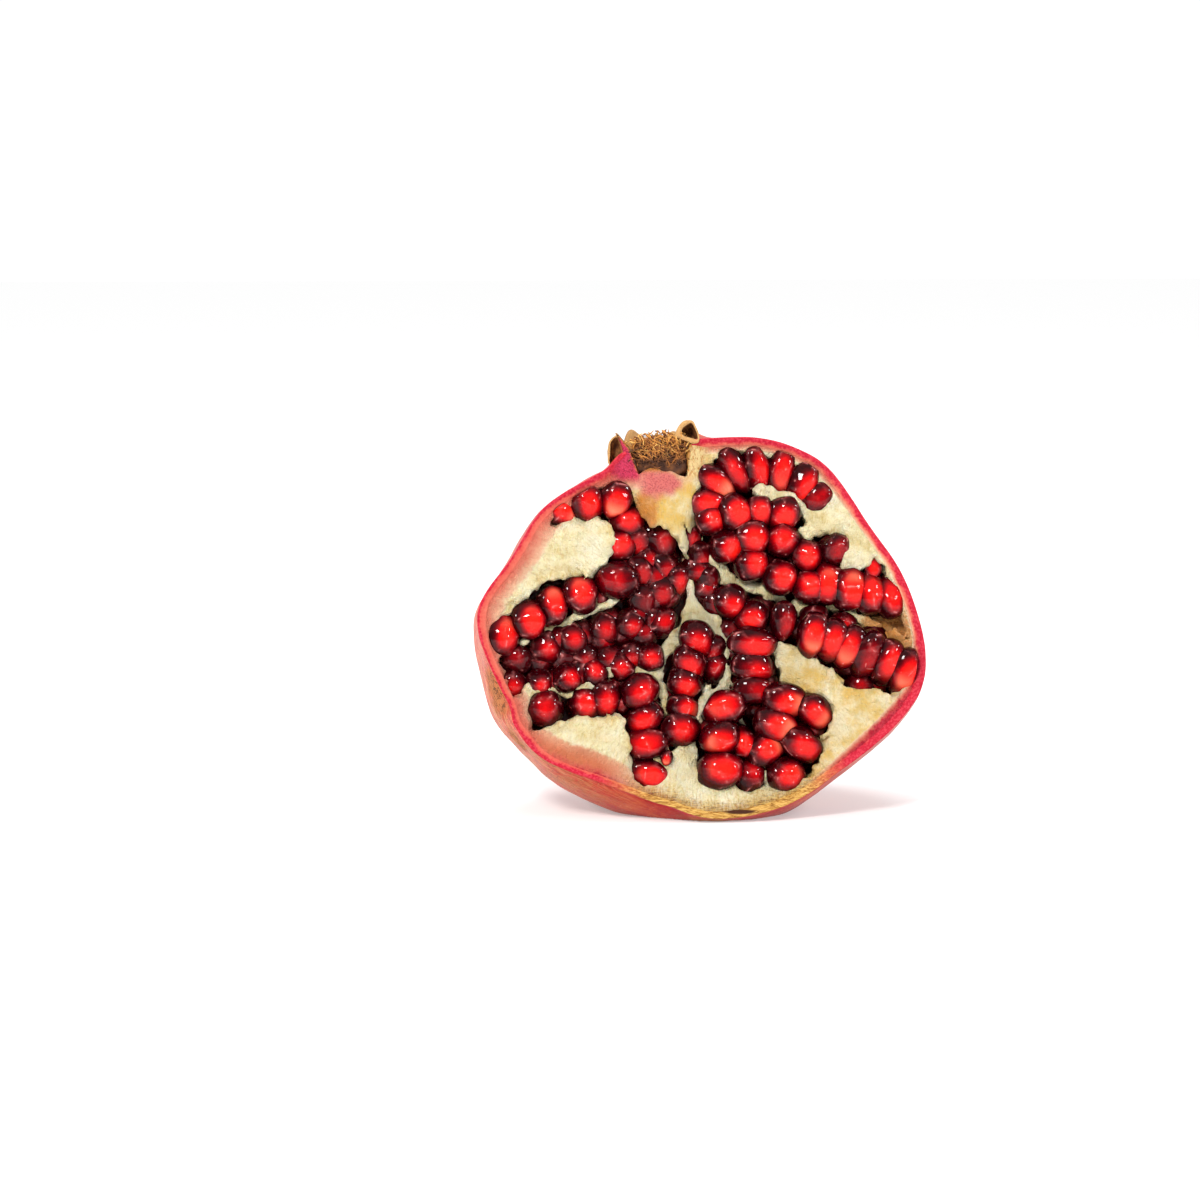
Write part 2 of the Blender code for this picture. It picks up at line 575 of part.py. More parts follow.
def build_stamens(surface):
    """The dry tuft in the cup: filaments standing out of a matted core."""
    draw = random.Random(STAMEN_SEED)
    floor_w, _, radius = CROWN_WALL[0]

    def in_cup(out, w, turn):
        middle = CROWN_U - CROWN_LEAN * (w - floor_w)
        v = max(CROWN_V + out * math.sin(turn), CROWN_CUT_V + 0.5)
        return Vector((middle + out * math.cos(turn), w, v))

    bm = bmesh.new()
    rings = []
    for rise, share in TUFT_CORE:
        turns = [2 * math.pi * i / 12 for i in range(12)]
        rings.append(add_ring(bm, [
            in_row(in_cup(radius * share, floor_w + rise, turn)) for turn in turns
        ]))
    for first, second in zip(rings, rings[1:]):
        join_rings(bm, first, second)
    close_with_fan(bm, rings[0], in_row(in_cup(0, floor_w + TUFT_CORE[0][0], 0)))
    close_with_fan(bm, rings[-1], in_row(in_cup(0, floor_w + TUFT_CORE[-1][0] + 1, 0)))
    tuft = new_object("stamens", bm, surface)

    filaments = bpy.data.collections.new("filaments")
    bpy.context.scene.collection.children.link(filaments)
    for number in range(STAMENS):
        out = 0.85 * radius * math.sqrt(draw.random())
        foot = in_cup(out, floor_w + draw.uniform(1.0, 3.5), draw.uniform(0, 2 * math.pi))
        foot.z = max(foot.z, CROWN_CUT_V + 1.0)
        lean = Vector((draw.uniform(-0.4, 0.4), 1, draw.uniform(-0.4, 0.3)))
        tip = foot + lean.normalized() * draw.uniform(*STAMEN_LENGTHS)
        tip.y = min(tip.y, STAMEN_TOP_W)
        bm = bmesh.new()
        base = add_ring(bm, [
            in_row(foot + Vector((math.cos(a), 0, math.sin(a))) * STAMEN_RADIUS)
            for a in (0.3, 0.3 + 2 * math.pi / 3, 0.3 + 4 * math.pi / 3)
        ])
        close_with_fan(bm, base, in_row(tip))
        bm.faces.new(base)
        single = new_object(f"filament_{number}", bm, surface)
        bpy.context.scene.collection.objects.unlink(single)
        filaments.objects.link(single)
    combine(tuft, filaments, "UNION")
    keep_largest_body(tuft)


def main():
    for old in list(bpy.data.objects):
        bpy.data.objects.remove(old)
    surfaces = {name: material(name) for name in COLOURS}
    build_rind(surfaces["rind"])
    build_pith(surfaces["pith"])
    build_arils(surfaces["arils"])
    build_stamens(surfaces["stamens"])
    for made in bpy.data.objects:
        made.data.shade_smooth()
        made.data.set_sharp_from_angle(angle=SHARP_ANGLE)


main()
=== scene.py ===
import itertools
import math
import random

import bmesh
import bpy
import numpy as np
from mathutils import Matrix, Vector


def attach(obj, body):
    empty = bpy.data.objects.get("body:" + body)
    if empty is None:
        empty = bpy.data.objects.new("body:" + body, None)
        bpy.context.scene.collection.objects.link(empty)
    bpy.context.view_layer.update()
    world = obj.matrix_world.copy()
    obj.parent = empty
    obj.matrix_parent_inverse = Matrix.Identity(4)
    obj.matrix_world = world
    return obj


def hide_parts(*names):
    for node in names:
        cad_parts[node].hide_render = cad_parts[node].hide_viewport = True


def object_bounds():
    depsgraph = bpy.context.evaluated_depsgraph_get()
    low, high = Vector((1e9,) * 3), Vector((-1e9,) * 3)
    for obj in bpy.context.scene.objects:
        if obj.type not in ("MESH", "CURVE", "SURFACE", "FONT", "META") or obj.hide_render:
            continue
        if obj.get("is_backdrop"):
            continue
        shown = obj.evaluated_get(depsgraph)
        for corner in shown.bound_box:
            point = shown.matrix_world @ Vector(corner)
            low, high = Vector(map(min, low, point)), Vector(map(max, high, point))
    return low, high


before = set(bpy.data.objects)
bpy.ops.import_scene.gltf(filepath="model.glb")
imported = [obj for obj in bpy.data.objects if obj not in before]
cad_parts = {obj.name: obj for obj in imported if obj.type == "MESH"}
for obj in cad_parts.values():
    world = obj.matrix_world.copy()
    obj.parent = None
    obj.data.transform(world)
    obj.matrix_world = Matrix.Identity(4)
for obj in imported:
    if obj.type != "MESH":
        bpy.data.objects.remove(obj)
cad_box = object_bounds()
print("nodes:", sorted(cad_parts))

# %% [markdown]
# ## The open face as a drawing board
# Everything grows from the cut, so places are given on the cut face in millimetres: u to the
# right, w up towards the crown, and v into the fruit. The face leans back, and the lowest skin
# is pressed flat, so one function carries such places to metres above the table.
# %% The cut face and its outlines
MM = 0.001
LEAN_BACK = math.radians(12)
FLAT_DEPTH = 5.2
FLAT_CENTRE_Y = 16.5
SKIN_DEPTH = 64.0
GIRTH_DEPTH = 15.0
CUT_OUTLINE = [
    (54.8, -3.5), (50.2, 12.6), (41.8, 26), (33, 38.7), (25.5, 44.4), (14.2, 47.7), (-0.5, 47),
    (-13, 43.4), (-22, 40.6), (-29.3, 36.9), (-39.6, 29.9), (-47.4, 17.8), (-54.4, 7.7),
    (-55.2, 0), (-52, -10), (-48, -18), (-46.5, -23.5), (-39.5, -31.5), (-23.5, -37.5),
    (-10.5, -42.5), (1.5, -46.5), (19, -43.5), (35, -34), (47, -24.5), (54, -14.5),
]
GIRTH_OUTLINE = [
    (55.8, -3.5), (51.2, 13), (42.8, 26.8), (34, 39.8), (26.2, 45.6), (14.5, 48.9), (-0.5, 48.2),
    (-13.2, 44.4), (-22.4, 41.4), (-29.8, 37.6), (-40.1, 30.3), (-47.9, 18), (-54.7, 7.7),
    (-55.6, 0), (-54.2, -9), (-51.4, -19.3), (-46.2, -26.6), (-37.6, -35.6), (-28.6, -41.2),
    (-17, -45.6), (0, -48.6), (20, -45.6), (36, -35), (48, -25), (55, -14.8),
]


def smooth_step(value, low, high):
    """0 below low, 1 above high, and a smooth slope between them."""
    t = np.clip((value - low) / (high - low), 0, 1)
    return t * t * (3 - 2 * t)


def closed_spline(points, steps=16):
    """A smooth closed curve through the points."""
    p = np.array(points, float)
    before, after, beyond = np.roll(p, 1, 0), np.roll(p, -1, 0), np.roll(p, -2, 0)
    curve = [
        0.5 * (
            2 * p + (after - before) * t
            + (2 * before - 5 * p + 4 * after - beyond) * t**2
            + (3 * p - before - 3 * after + beyond) * t**3
        )
        for t in np.arange(steps) / steps
    ]
    return np.stack(curve, 1).reshape(-1, 2)


def radius_table(outline):
    """Angles round the middle of the face, and how far out the outline is at each."""
    curve = closed_spline(outline)
    angles = np.arctan2(curve[:, 1], curve[:, 0])
    order = np.argsort(angles)
    return angles[order], np.hypot(curve[:, 0], curve[:, 1])[order]


CUT_TABLE = radius_table(CUT_OUTLINE)
GIRTH_TABLE = radius_table(GIRTH_OUTLINE)


def cut_radius(angle):
    return np.interp(angle, *CUT_TABLE, period=2 * math.pi)


def girth_radius(angle):
    return np.interp(angle, *GIRTH_TABLE, period=2 * math.pi)


def leaned(face):
    """Places on the face, as rows of u, w, v, turned to lean back, still in millimetres."""
    u, w, v = np.asarray(face, float).T
    sin, cos = math.sin(LEAN_BACK), math.cos(LEAN_BACK)
    return np.stack([u, w * sin + v * cos, w * cos - v * sin], -1)


# %% [markdown]
# ## The skin as one formula
# A fruit is nearly a ball, so its skin is a surface with two directions: round the cut, and from
# the cut to the back. The girth is a little behind the cut, and faint ribs run from the crown to
# the base. Working from a formula keeps the skin, the pith under it and their colours in step.
# %% The skin surface
RIBS = 6
RIB_HEIGHT = 0.9
RIB_AXIS_V = 15.0
RIB_REACH_W = 50.0
RIB_START_V, RIB_FULL_V = 2, 16


def skin_point(angle, back, inset):
    """Places on the skin, or inset under it. back runs from the cut, 0, to the far side, 1."""
    widest = girth_radius(angle)
    cut_turn = np.arccos(cut_radius(angle) / widest)
    turn = -cut_turn + back * (cut_turn + math.pi / 2)
    front_reach = GIRTH_DEPTH / np.sin(cut_turn)
    back_reach = SKIN_DEPTH - GIRTH_DEPTH - inset
    radius = (widest - inset) * np.cos(turn)
    u, w = radius * np.cos(angle), radius * np.sin(angle)
    v = GIRTH_DEPTH + np.where(turn < 0, front_reach, back_reach) * np.sin(turn)
    around = np.arctan2(v - RIB_AXIS_V, u)
    rib = RIB_HEIGHT / RIB_REACH_W * np.cos(RIBS * around + math.pi / 2)
    rib = rib * np.clip(1 - (w / RIB_REACH_W) ** 2, 0, 1)
    rib = rib * smooth_step(v, RIB_START_V, RIB_FULL_V)
    return np.stack([u * (1 + rib), w, RIB_AXIS_V + (v - RIB_AXIS_V) * (1 + rib)], -1)


def skin_radius(angle, v):
    """How far out the skin is at a depth in front of the girth."""
    widest = girth_radius(angle)
    front_reach = GIRTH_DEPTH / np.sin(np.arccos(cut_radius(angle) / widest))
    return widest * np.sqrt(np.clip(1 - ((v - GIRTH_DEPTH) / front_reach) ** 2, 0, 1))


every_angle, every_back = np.meshgrid(
    np.linspace(0, 2 * math.pi, 181), np.linspace(0, 1, 61), indexing="ij"
)
whole_skin = skin_point(every_angle, every_back, 0).reshape(-1, 3)
FLOOR_Z = leaned(whole_skin)[:, 2].min() + FLAT_DEPTH
print("the table is", round(float(-FLOOR_Z), 1), "mm below the middle of the face")


def in_row(face, above_table=0.0):
    """Places on the face as metres in the row frame, kept above the table."""
    spots = leaned(face)
    spots[:, 1] -= FLAT_CENTRE_Y
    spots[:, 2] = np.maximum(spots[:, 2] - FLOOR_Z, above_table)
    return spots * MM


# %% [markdown]
# ## Camera
# The camera looks at the open face from a little to the left and a little above, from about
# the distance of a product photograph. It comes first, so that every later piece can be judged
# as soon as it is there.
# %% Camera
PHOTO_SIDE = 1200
PIXELS_PER_MM = 4.07
FACE_MIDDLE_PX = (703, 630)
CAMERA_AZIMUTH, CAMERA_HEIGHT = math.radians(-4), math.radians(7.5)
CAMERA_DISTANCE = 0.9

towards = Vector((
    math.sin(CAMERA_AZIMUTH) * math.cos(CAMERA_HEIGHT),
    -math.cos(CAMERA_AZIMUTH) * math.cos(CAMERA_HEIGHT),
    math.sin(CAMERA_HEIGHT),
))
right = Vector((math.cos(CAMERA_AZIMUTH), math.sin(CAMERA_AZIMUTH), 0))
up = towards.cross(right)
face_middle = Vector(in_row([(0, 0, 0)])[0])
off_centre = [(px - PHOTO_SIDE / 2) / PIXELS_PER_MM * MM for px in FACE_MIDDLE_PX]
aim = face_middle - right * off_centre[0] + up * off_centre[1]

camera = bpy.data.objects.new("camera", bpy.data.cameras.new("camera"))
bpy.context.scene.collection.objects.link(camera)
camera.location = aim + towards * CAMERA_DISTANCE
camera.rotation_euler = (-towards).to_track_quat("-Z", "Y").to_euler()
frame_width = PHOTO_SIDE / PIXELS_PER_MM * MM
camera.data.angle = 2 * math.atan(frame_width / 2 / CAMERA_DISTANCE)
bpy.context.scene.camera = camera
print("lens", round(camera.data.lens, 1), "mm")


# %% [markdown]
# ## A short way to write finishes
# A finish is a network of nodes. Wrapping each socket in a small class lets the maths be written
# as plain Python, and every expression adds its Math nodes. Any other node comes from the one
# method node(). Values that are the same all over are set straight on the shader.
# %% Sockets and finishes
def socket_name(words):
    """coat_ior becomes Coat IOR, as the shader's own socket is called."""
    return words.replace("_", " ").title().replace("Ior", "IOR")


def maths(operation, swapped=False):
    """A method that adds one Math node, with its two inputs swapped where asked."""

    def method(self, other):
        inputs = {0: other, 1: self} if swapped else {0: self, 1: other}
        return self.finish.node("ShaderNodeMath", {"operation": operation}, inputs)

    return method


class Wire:
    """One node output that can be used in Python expressions."""

    def __init__(self, finish, socket):
        self.finish, self.socket = finish, socket

    __add__ = __radd__ = maths("ADD")
    __sub__, __rsub__ = maths("SUBTRACT"), maths("SUBTRACT", swapped=True)
    __mul__ = __rmul__ = maths("MULTIPLY")
    __truediv__, __pow__ = maths("DIVIDE"), maths("POWER")
    most, least = maths("MAXIMUM"), maths("MINIMUM")

    def between(self, low, high):
        """0 below low, 1 above high, and a smooth slope between them."""
        settings = {"interpolation_type": "SMOOTHSTEP"}
        inputs = {"Value": self, "From Min": low, "From Max": high}
        return self.finish.node("ShaderNodeMapRange", settings, inputs)


class Network:
    """A node tree that is written as expressions."""

    def __init__(self, tree):
        self.tree = tree

    def node(self, kind, settings=None, inputs=None, output=0):
        made = self.tree.nodes.new(kind)
        for key, value in (settings or {}).items():
            if key == "stops":
                self.set_stops(made.color_ramp, value)
            else:
                setattr(made, key, value)
        for key, value in (inputs or {}).items():
            self.feed(made.inputs[key], value)
        return Wire(self, made.outputs[output])

    def set_stops(self, ramp, stops):
        while len(ramp.elements) < len(stops):
            ramp.elements.new(0.5)
        for element, (place, colour) in zip(ramp.elements, stops):
            element.position = place
            element.color = (*colour, 1)

    def feed(self, socket, value):
        if isinstance(value, Wire):
            self.tree.links.new(value.socket, socket)
        elif isinstance(value, tuple) and len(value) == 3 and socket.type == "RGBA":
            socket.default_value = (*value, 1)
        else:
            socket.default_value = value

    def attribute(self, name, output="Fac"):
        settings = {"attribute_name": name}
        return self.node("ShaderNodeAttribute", settings, output=output)

    def face_place(self):
        """The face's u, w and v as three wires."""
        place = self.attribute("face", "Vector")
        return [
            self.node("ShaderNodeSeparateXYZ", None, {0: place}, axis) for axis in ("X", "Y", "Z")
        ]

    def noise(self, place, size, detail=3.0, rough=0.55, twist=0.0):
        """Soft noise from 0 to 1 whose lumps are about that size."""
        inputs = {
            "Vector": place, "Scale": 1 / size, "Detail": detail,
            "Roughness": rough, "Distortion": twist,
        }
        return self.node("ShaderNodeTexNoise", None, inputs, "Fac")

    def cells(self, place, size):
        """How far the nearest of many scattered points is, as a share of their spacing."""
        inputs = {"Vector": place, "Scale": 1 / size}
        return self.node("ShaderNodeTexVoronoi", None, inputs, "Distance")

    def mix(self, share, first, second):
        """A colour between two colours."""
        inputs = {0: share, 6: first, 7: second}
        return self.node("ShaderNodeMix", {"data_type": "RGBA"}, inputs, 2)

    def over(self, colour, layers):
        """The colour with others laid over it in order, each by its own share."""
        for share, tint in layers:
            colour = self.mix(share, colour, tint)
        return colour

    def ramp(self, share, stops):
        return self.node("ShaderNodeValToRGB", {"stops": stops}, {"Fac": share}, "Color")

    def stretched(self, place, by):
        settings = {"operation": "MULTIPLY"}
        return self.node("ShaderNodeVectorMath", settings, {0: place, 1: by})

    def bump(self, height, strength, depth):
        """A normal from a height, where depth is in metres."""
        inputs = {"Height": height, "Strength": strength, "Distance": depth}
        return self.node("ShaderNodeBump", None, inputs, "Normal")


class Finish(Network):
    """A material made from a Principled shader. Words are the shader's own sockets."""

    def __init__(self, name, **sockets):
        self.material = bpy.data.materials.new(name)
        self.material.use_nodes = True
        super().__init__(self.material.node_tree)
        self.shader = self.tree.nodes["Principled BSDF"]
        for words, value in sockets.items():
            self.shader.inputs[socket_name(words)].default_value = value

    def use(self, **wires):
        """Feeds the shader's sockets and gives the material back."""
        for words, value in wires.items():
            self.feed(self.shader.inputs[socket_name(words)], value)
        return self.material


# %% [markdown]
# ## Light and table
# Wet arils mirror the whole room, so the room is dim in front and overhead, which keeps their
# red deep. A small bright lamp on the left makes the highlights, a weaker one on the right answers
# it, and two little ones at the sides put glints on the flanks of the arils. A broad one above and
# behind drops a soft shadow in front of the fruit. The table is a white sheet that glows faintly,
# more so far away, so that it stays white out to the back wall.
# %% Studio
CEILING, BACK_WALL, FRONT = 0.60, 1.05, 0.22
TABLE_GLOW_NEAR, TABLE_GLOW_FAR = 0.33, 0.60


def soft_lamp(name, place, side, watts, tint=(1, 1, 1)):
    """A square lamp that faces the fruit."""
    lamp = bpy.data.lights.new(name, "AREA")
    lamp.size, lamp.energy, lamp.color = side, watts, tint
    held = bpy.data.objects.new(name, lamp)
    held.location = place
    held.rotation_euler = (face_middle - Vector(place)).to_track_quat("-Z", "Y").to_euler()
    bpy.context.scene.collection.objects.link(held)


soft_lamp("key_lamp", (-0.42, -0.72, 0.72), 0.22, 10.0, (1, 0.98, 0.95))
soft_lamp("side_lamp", (0.80, -0.55, 0.40), 0.16, 2.8, (0.96, 0.98, 1))
soft_lamp("top_lamp", (-0.05, 0.38, 0.85), 0.45, 5.5)
soft_lamp("left_glint", (-0.80, -0.10, 0.50), 0.10, 1.9)
soft_lamp("right_glint", (0.72, -0.12, 0.62), 0.10, 1.9)

world = bpy.data.worlds.new("studio")
bpy.context.scene.world = world
world.use_nodes = True
sky = Network(world.node_tree)
way = sky.node("ShaderNodeTexCoord", output="Generated")
depth_way, height_way = (
    sky.node("ShaderNodeSeparateXYZ", None, {0: way}, axis) for axis in ("Y", "Z")
)
walls = FRONT + depth_way.between(-0.25, 0.25) * (BACK_WALL - FRONT)
room = walls + height_way.between(0.35, 0.80) * (CEILING - walls)
backdrop = world.node_tree.nodes["Background"]
sky.feed(backdrop.inputs["Color"], (1.0, 1.0, 1.0))
sky.feed(backdrop.inputs["Strength"], room)
bpy.context.scene.view_settings.view_transform = "Standard"

# %% Table
TABLE_HALF_SIDE = 3.0

table_finish = Finish(
    "table_matt", base_color=(0.62, 0.62, 0.62, 1), roughness=0.9, specular_ior_level=0.0,
    emission_strength=1.0,
)
spot = table_finish.node("ShaderNodeTexCoord", output="Object")
x, y = (table_finish.node("ShaderNodeSeparateXYZ", None, {0: spot}, axis) for axis in ("X", "Y"))
far_off = ((x * x + y * y) ** 0.5).between(0.05, 0.7)
near_grey, far_grey = ((glow,) * 3 for glow in (TABLE_GLOW_NEAR, TABLE_GLOW_FAR))
table_finish.use(emission_color=table_finish.mix(far_off, near_grey, far_grey))
table_mesh = bpy.data.meshes.new("table")
signs = ((-1, -1), (1, -1), (1, 1), (-1, 1))
table_corners = [(a * TABLE_HALF_SIDE, b * TABLE_HALF_SIDE, 0) for a, b in signs]
table_mesh.from_pydata(table_corners, [], [(0, 1, 2, 3)])
table_mesh.materials.append(table_finish.material)
table = bpy.data.objects.new("table", table_mesh)
bpy.context.scene.collection.objects.link(table)
table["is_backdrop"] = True


# %% [markdown]
# ## Meshes from arrays
# The pieces have tens of thousands of points, so they are worked out as arrays. This helper
# makes the mesh, keeps each point's place on the face for the finishes to read, and adds any
# other value that a finish needs, such as how far a point is from the cut edge of the skin.
# %% Piece from arrays
def piece(name, face, quads, finish, stands_for=(), values=None, vectors=None):
    """A named piece from places on the face, with numbers and vectors for each point by name."""
    mesh = bpy.data.meshes.new(name)
    mesh.from_pydata(in_row(face), [], [list(quad) for quad in quads])
    mesh.validate()
    mesh.update()
    for key, numbers in {"face": face, **(vectors or {})}.items():
        holder = mesh.attributes.new(key, "FLOAT_VECTOR", "POINT")
        holder.data.foreach_set("vector", np.asarray(numbers, np.float32).ravel())
    for key, numbers in (values or {}).items():
        holder = mesh.attributes.new(key, "FLOAT", "POINT")
        holder.data.foreach_set("value", np.asarray(numbers, np.float32))
    mesh.polygons.foreach_set("use_smooth", [True] * len(mesh.polygons))
    mesh.materials.append(finish)
    made = bpy.data.objects.new(name, mesh)
    bpy.context.scene.collection.objects.link(made)
    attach(made, "root")
    if stands_for:
        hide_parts(*stands_for)
    print(name, len(mesh.vertices), "points,", sum(len(q) - 2 for q in quads), "triangles")


def grid_quads(rows, columns, closed=True):
    """The quads of a grid of points that were listed row by row."""
    across = np.arange(columns if closed else columns - 1)
    nearby = (across + 1) % columns
    quads = []
    for row in range(rows - 1):
        low, high = row * columns, (row + 1) * columns
        quads.append(np.stack([low + across, low + nearby, high + nearby, high + across], 1))
    return np.concatenate(quads)


LATTICES = {}
LATTICE_SIDE = 48


def rough_noise(places, size, seed):
    """Smooth random numbers from -1 to 1 at places in millimetres, with lumps of that size."""
    if seed not in LATTICES:
        LATTICES[seed] = np.random.default_rng(seed).uniform(-1, 1, (LATTICE_SIDE,) * 3)
    lattice = LATTICES[seed]
    scaled = np.asarray(places, float) / size
    corner = np.floor(scaled).astype(int)
    part = scaled - corner
    part = part * part * (3 - 2 * part)
    total = 0
    for step in itertools.product((0, 1), repeat=3):
        share = 1
        for axis in range(3):
            share = share * (part[..., axis] if step[axis] else 1 - part[..., axis])
        spot = (corner + step) % LATTICE_SIDE
        total = total + share * lattice[spot[..., 0], spot[..., 1], spot[..., 2]]
    return total


# %% [markdown]
# ## The red band inside the skin
# The cut shows the skin as a crimson line, then flesh that pales from pink to cream. On the left
# and at the top that band is wide under a thin line. At the lower right the line is broad, and
# the band ends soon after it. Both the skin's cut edge and the pith use it, so its width round
# the face is kept in one small table.
# %% Band and cut edge
RIM_WIDTHS = [
    # degrees round the face, millimetres of crimson line, millimetres of band in all
    (-180, 0.6, 7.0), (-168, 0.8, 5.5), (-150, 1.3, 7.0), (-135, 1.5, 8.5), (-115, 1.4, 5.5),
    (-100, 1.0, 2.5), (-62, 0.9, 1.8), (-46, 2.2, 3.2), (-35, 3.2, 4.6), (-23, 3.4, 4.8),
    (-10, 2.2, 3.2), (0, 1.7, 2.6), (30, 1.4, 2.6), (60, 1.6, 3.4),
    (90, 1.6, 4.0), (102, 2.2, 7.5), (118, 2.0, 8.0), (130, 1.4, 7.0), (145, 0.8, 7.0),
    (180, 0.6, 7.0),
]
CRIMSON = (0.44, 0.007, 0.026)
FLESH_COLOURS = [
    (0.0, (0.58, 0.070, 0.055)), (0.35, (0.66, 0.18, 0.115)), (0.75, (0.77, 0.44, 0.28)),
    (1.0, (0.84, 0.73, 0.47)),
]


def rim_masks(inwards, angle):
    """Past the crimson line, and how far on towards the cream, both from 0 to 1."""
    degrees, lines, bands = np.array(RIM_WIDTHS).T
    line = np.interp(np.degrees(angle), degrees, lines, period=360)
    band = np.interp(np.degrees(angle), degrees, bands, period=360)
    return {
        "past_line": np.clip(inwards / line / 2, 0, 1),
        "band": np.clip((inwards - line) / (band - line), 0, 1),
    }


def rim_colour(finish, disorder):
    """The cut rind's colours, with the borders between them roughened by a noise."""
    wander = finish.noise(finish.attribute("face", "Vector"), 3.5, 3.0) - 0.5
    band = finish.attribute("band") + (disorder - 0.5) * 0.35 + wander * 0.4
    flesh = finish.ramp(band, FLESH_COLOURS)
    past = finish.attribute("past_line") + (disorder - 0.5) * 0.3 + wander * 0.9
    crimson = finish.mix(disorder.between(0.4, 0.65), CRIMSON, (0.56, 0.035, 0.060))
    return finish.mix(past.between(0.36, 0.64), crimson, flesh), band


DRIED_FROM, DRIED_FULL_FROM, DRIED_FULL_TO, DRIED_TO = -128, -106, -60, -42
# Where the painted shade of a crack at the old stem end lies on the face.
SLIT_MIDDLE, SLIT_REACH = (8.4, -44.7), (4.6, 0.7)


def dried_share(angle):
    """1 along the part of the rim that has dried brown, at the old stem end."""
    degrees = np.degrees(angle)
    starts = smooth_step(degrees, DRIED_FROM, DRIED_FULL_FROM)
    return starts * (1 - smooth_step(degrees, DRIED_FULL_TO, DRIED_TO))


def oval_distance(place, middle, reach):
    """How far out in an oval a place is: 0 at its middle and 1 on the oval."""
    first, *others = (((at - of) / half) ** 2.0 for at, of, half in zip(place, middle, reach))
    for other in others:
        first = first + other
    return first ** 0.5


def dry_brown(finish, place):
    """Brown and yellow fibres, with a painted dark slit at the old stem end, standing in for the
    shade in a crack.
    """
    strands = finish.noise(finish.stretched(place, (0.22, 1.4, 1.4)), 0.6, 4.0, 0.65, 1.2)
    colour = finish.ramp(strands, [
        (0.38, (0.66, 0.43, 0.13)), (0.50, (0.50, 0.26, 0.055)), (0.64, (0.16, 0.055, 0.012)),
    ])
    u, w, _ = finish.face_place()
    slit_shade = oval_distance((u, w), SLIT_MIDDLE, SLIT_REACH)
    return finish.mix(1 - slit_shade.between(0.55, 1.1), colour, (0.055, 0.016, 0.007))


def cut_wave(angle):
    """How far the torn edge wanders behind the plane of the cut, in millimetres."""
    ring = np.stack([np.cos(angle) * 50, np.sin(angle) * 50, np.zeros_like(angle)], -1)
    return 0.35 + 0.3 * rough_noise(ring, 16, 1) + 0.14 * rough_noise(ring, 3.5, 2)


def edge_distance(face):
    """How far places lie inside the outline of the cut, in millimetres, and their angle."""
    angle = np.arctan2(face[:, 1], face[:, 0])
    return cut_radius(angle) - np.hypot(face[:, 0], face[:, 1]), angle


# %% [markdown]
# ## Finish of the skin
# Pomegranate skin is leathery and satin. Red is laid over yellow in fine streaks that run from
# the crown to the base, with small freckles and some brown scars. Noise that is stretched along
# the fruit's own lines of longitude gives the streaks, whatever way the mesh runs.
# %% Skin finish
def longitude_noise(finish, around_mm, along_mm, detail, seed_shift, twist=0.0):
    """Noise with one size round the fruit and another from crown to base."""
    lines = finish.attribute("lines", "Vector")
    scaled = finish.stretched(lines, (1 / around_mm, 1 / around_mm, 1 / along_mm))
    shifted = finish.node(
        "ShaderNodeVectorMath", {"operation": "ADD"}, {0: scaled, 1: (seed_shift, 0, 0)}
    )
    return finish.noise(shifted, 1.0, detail, 0.6, twist)


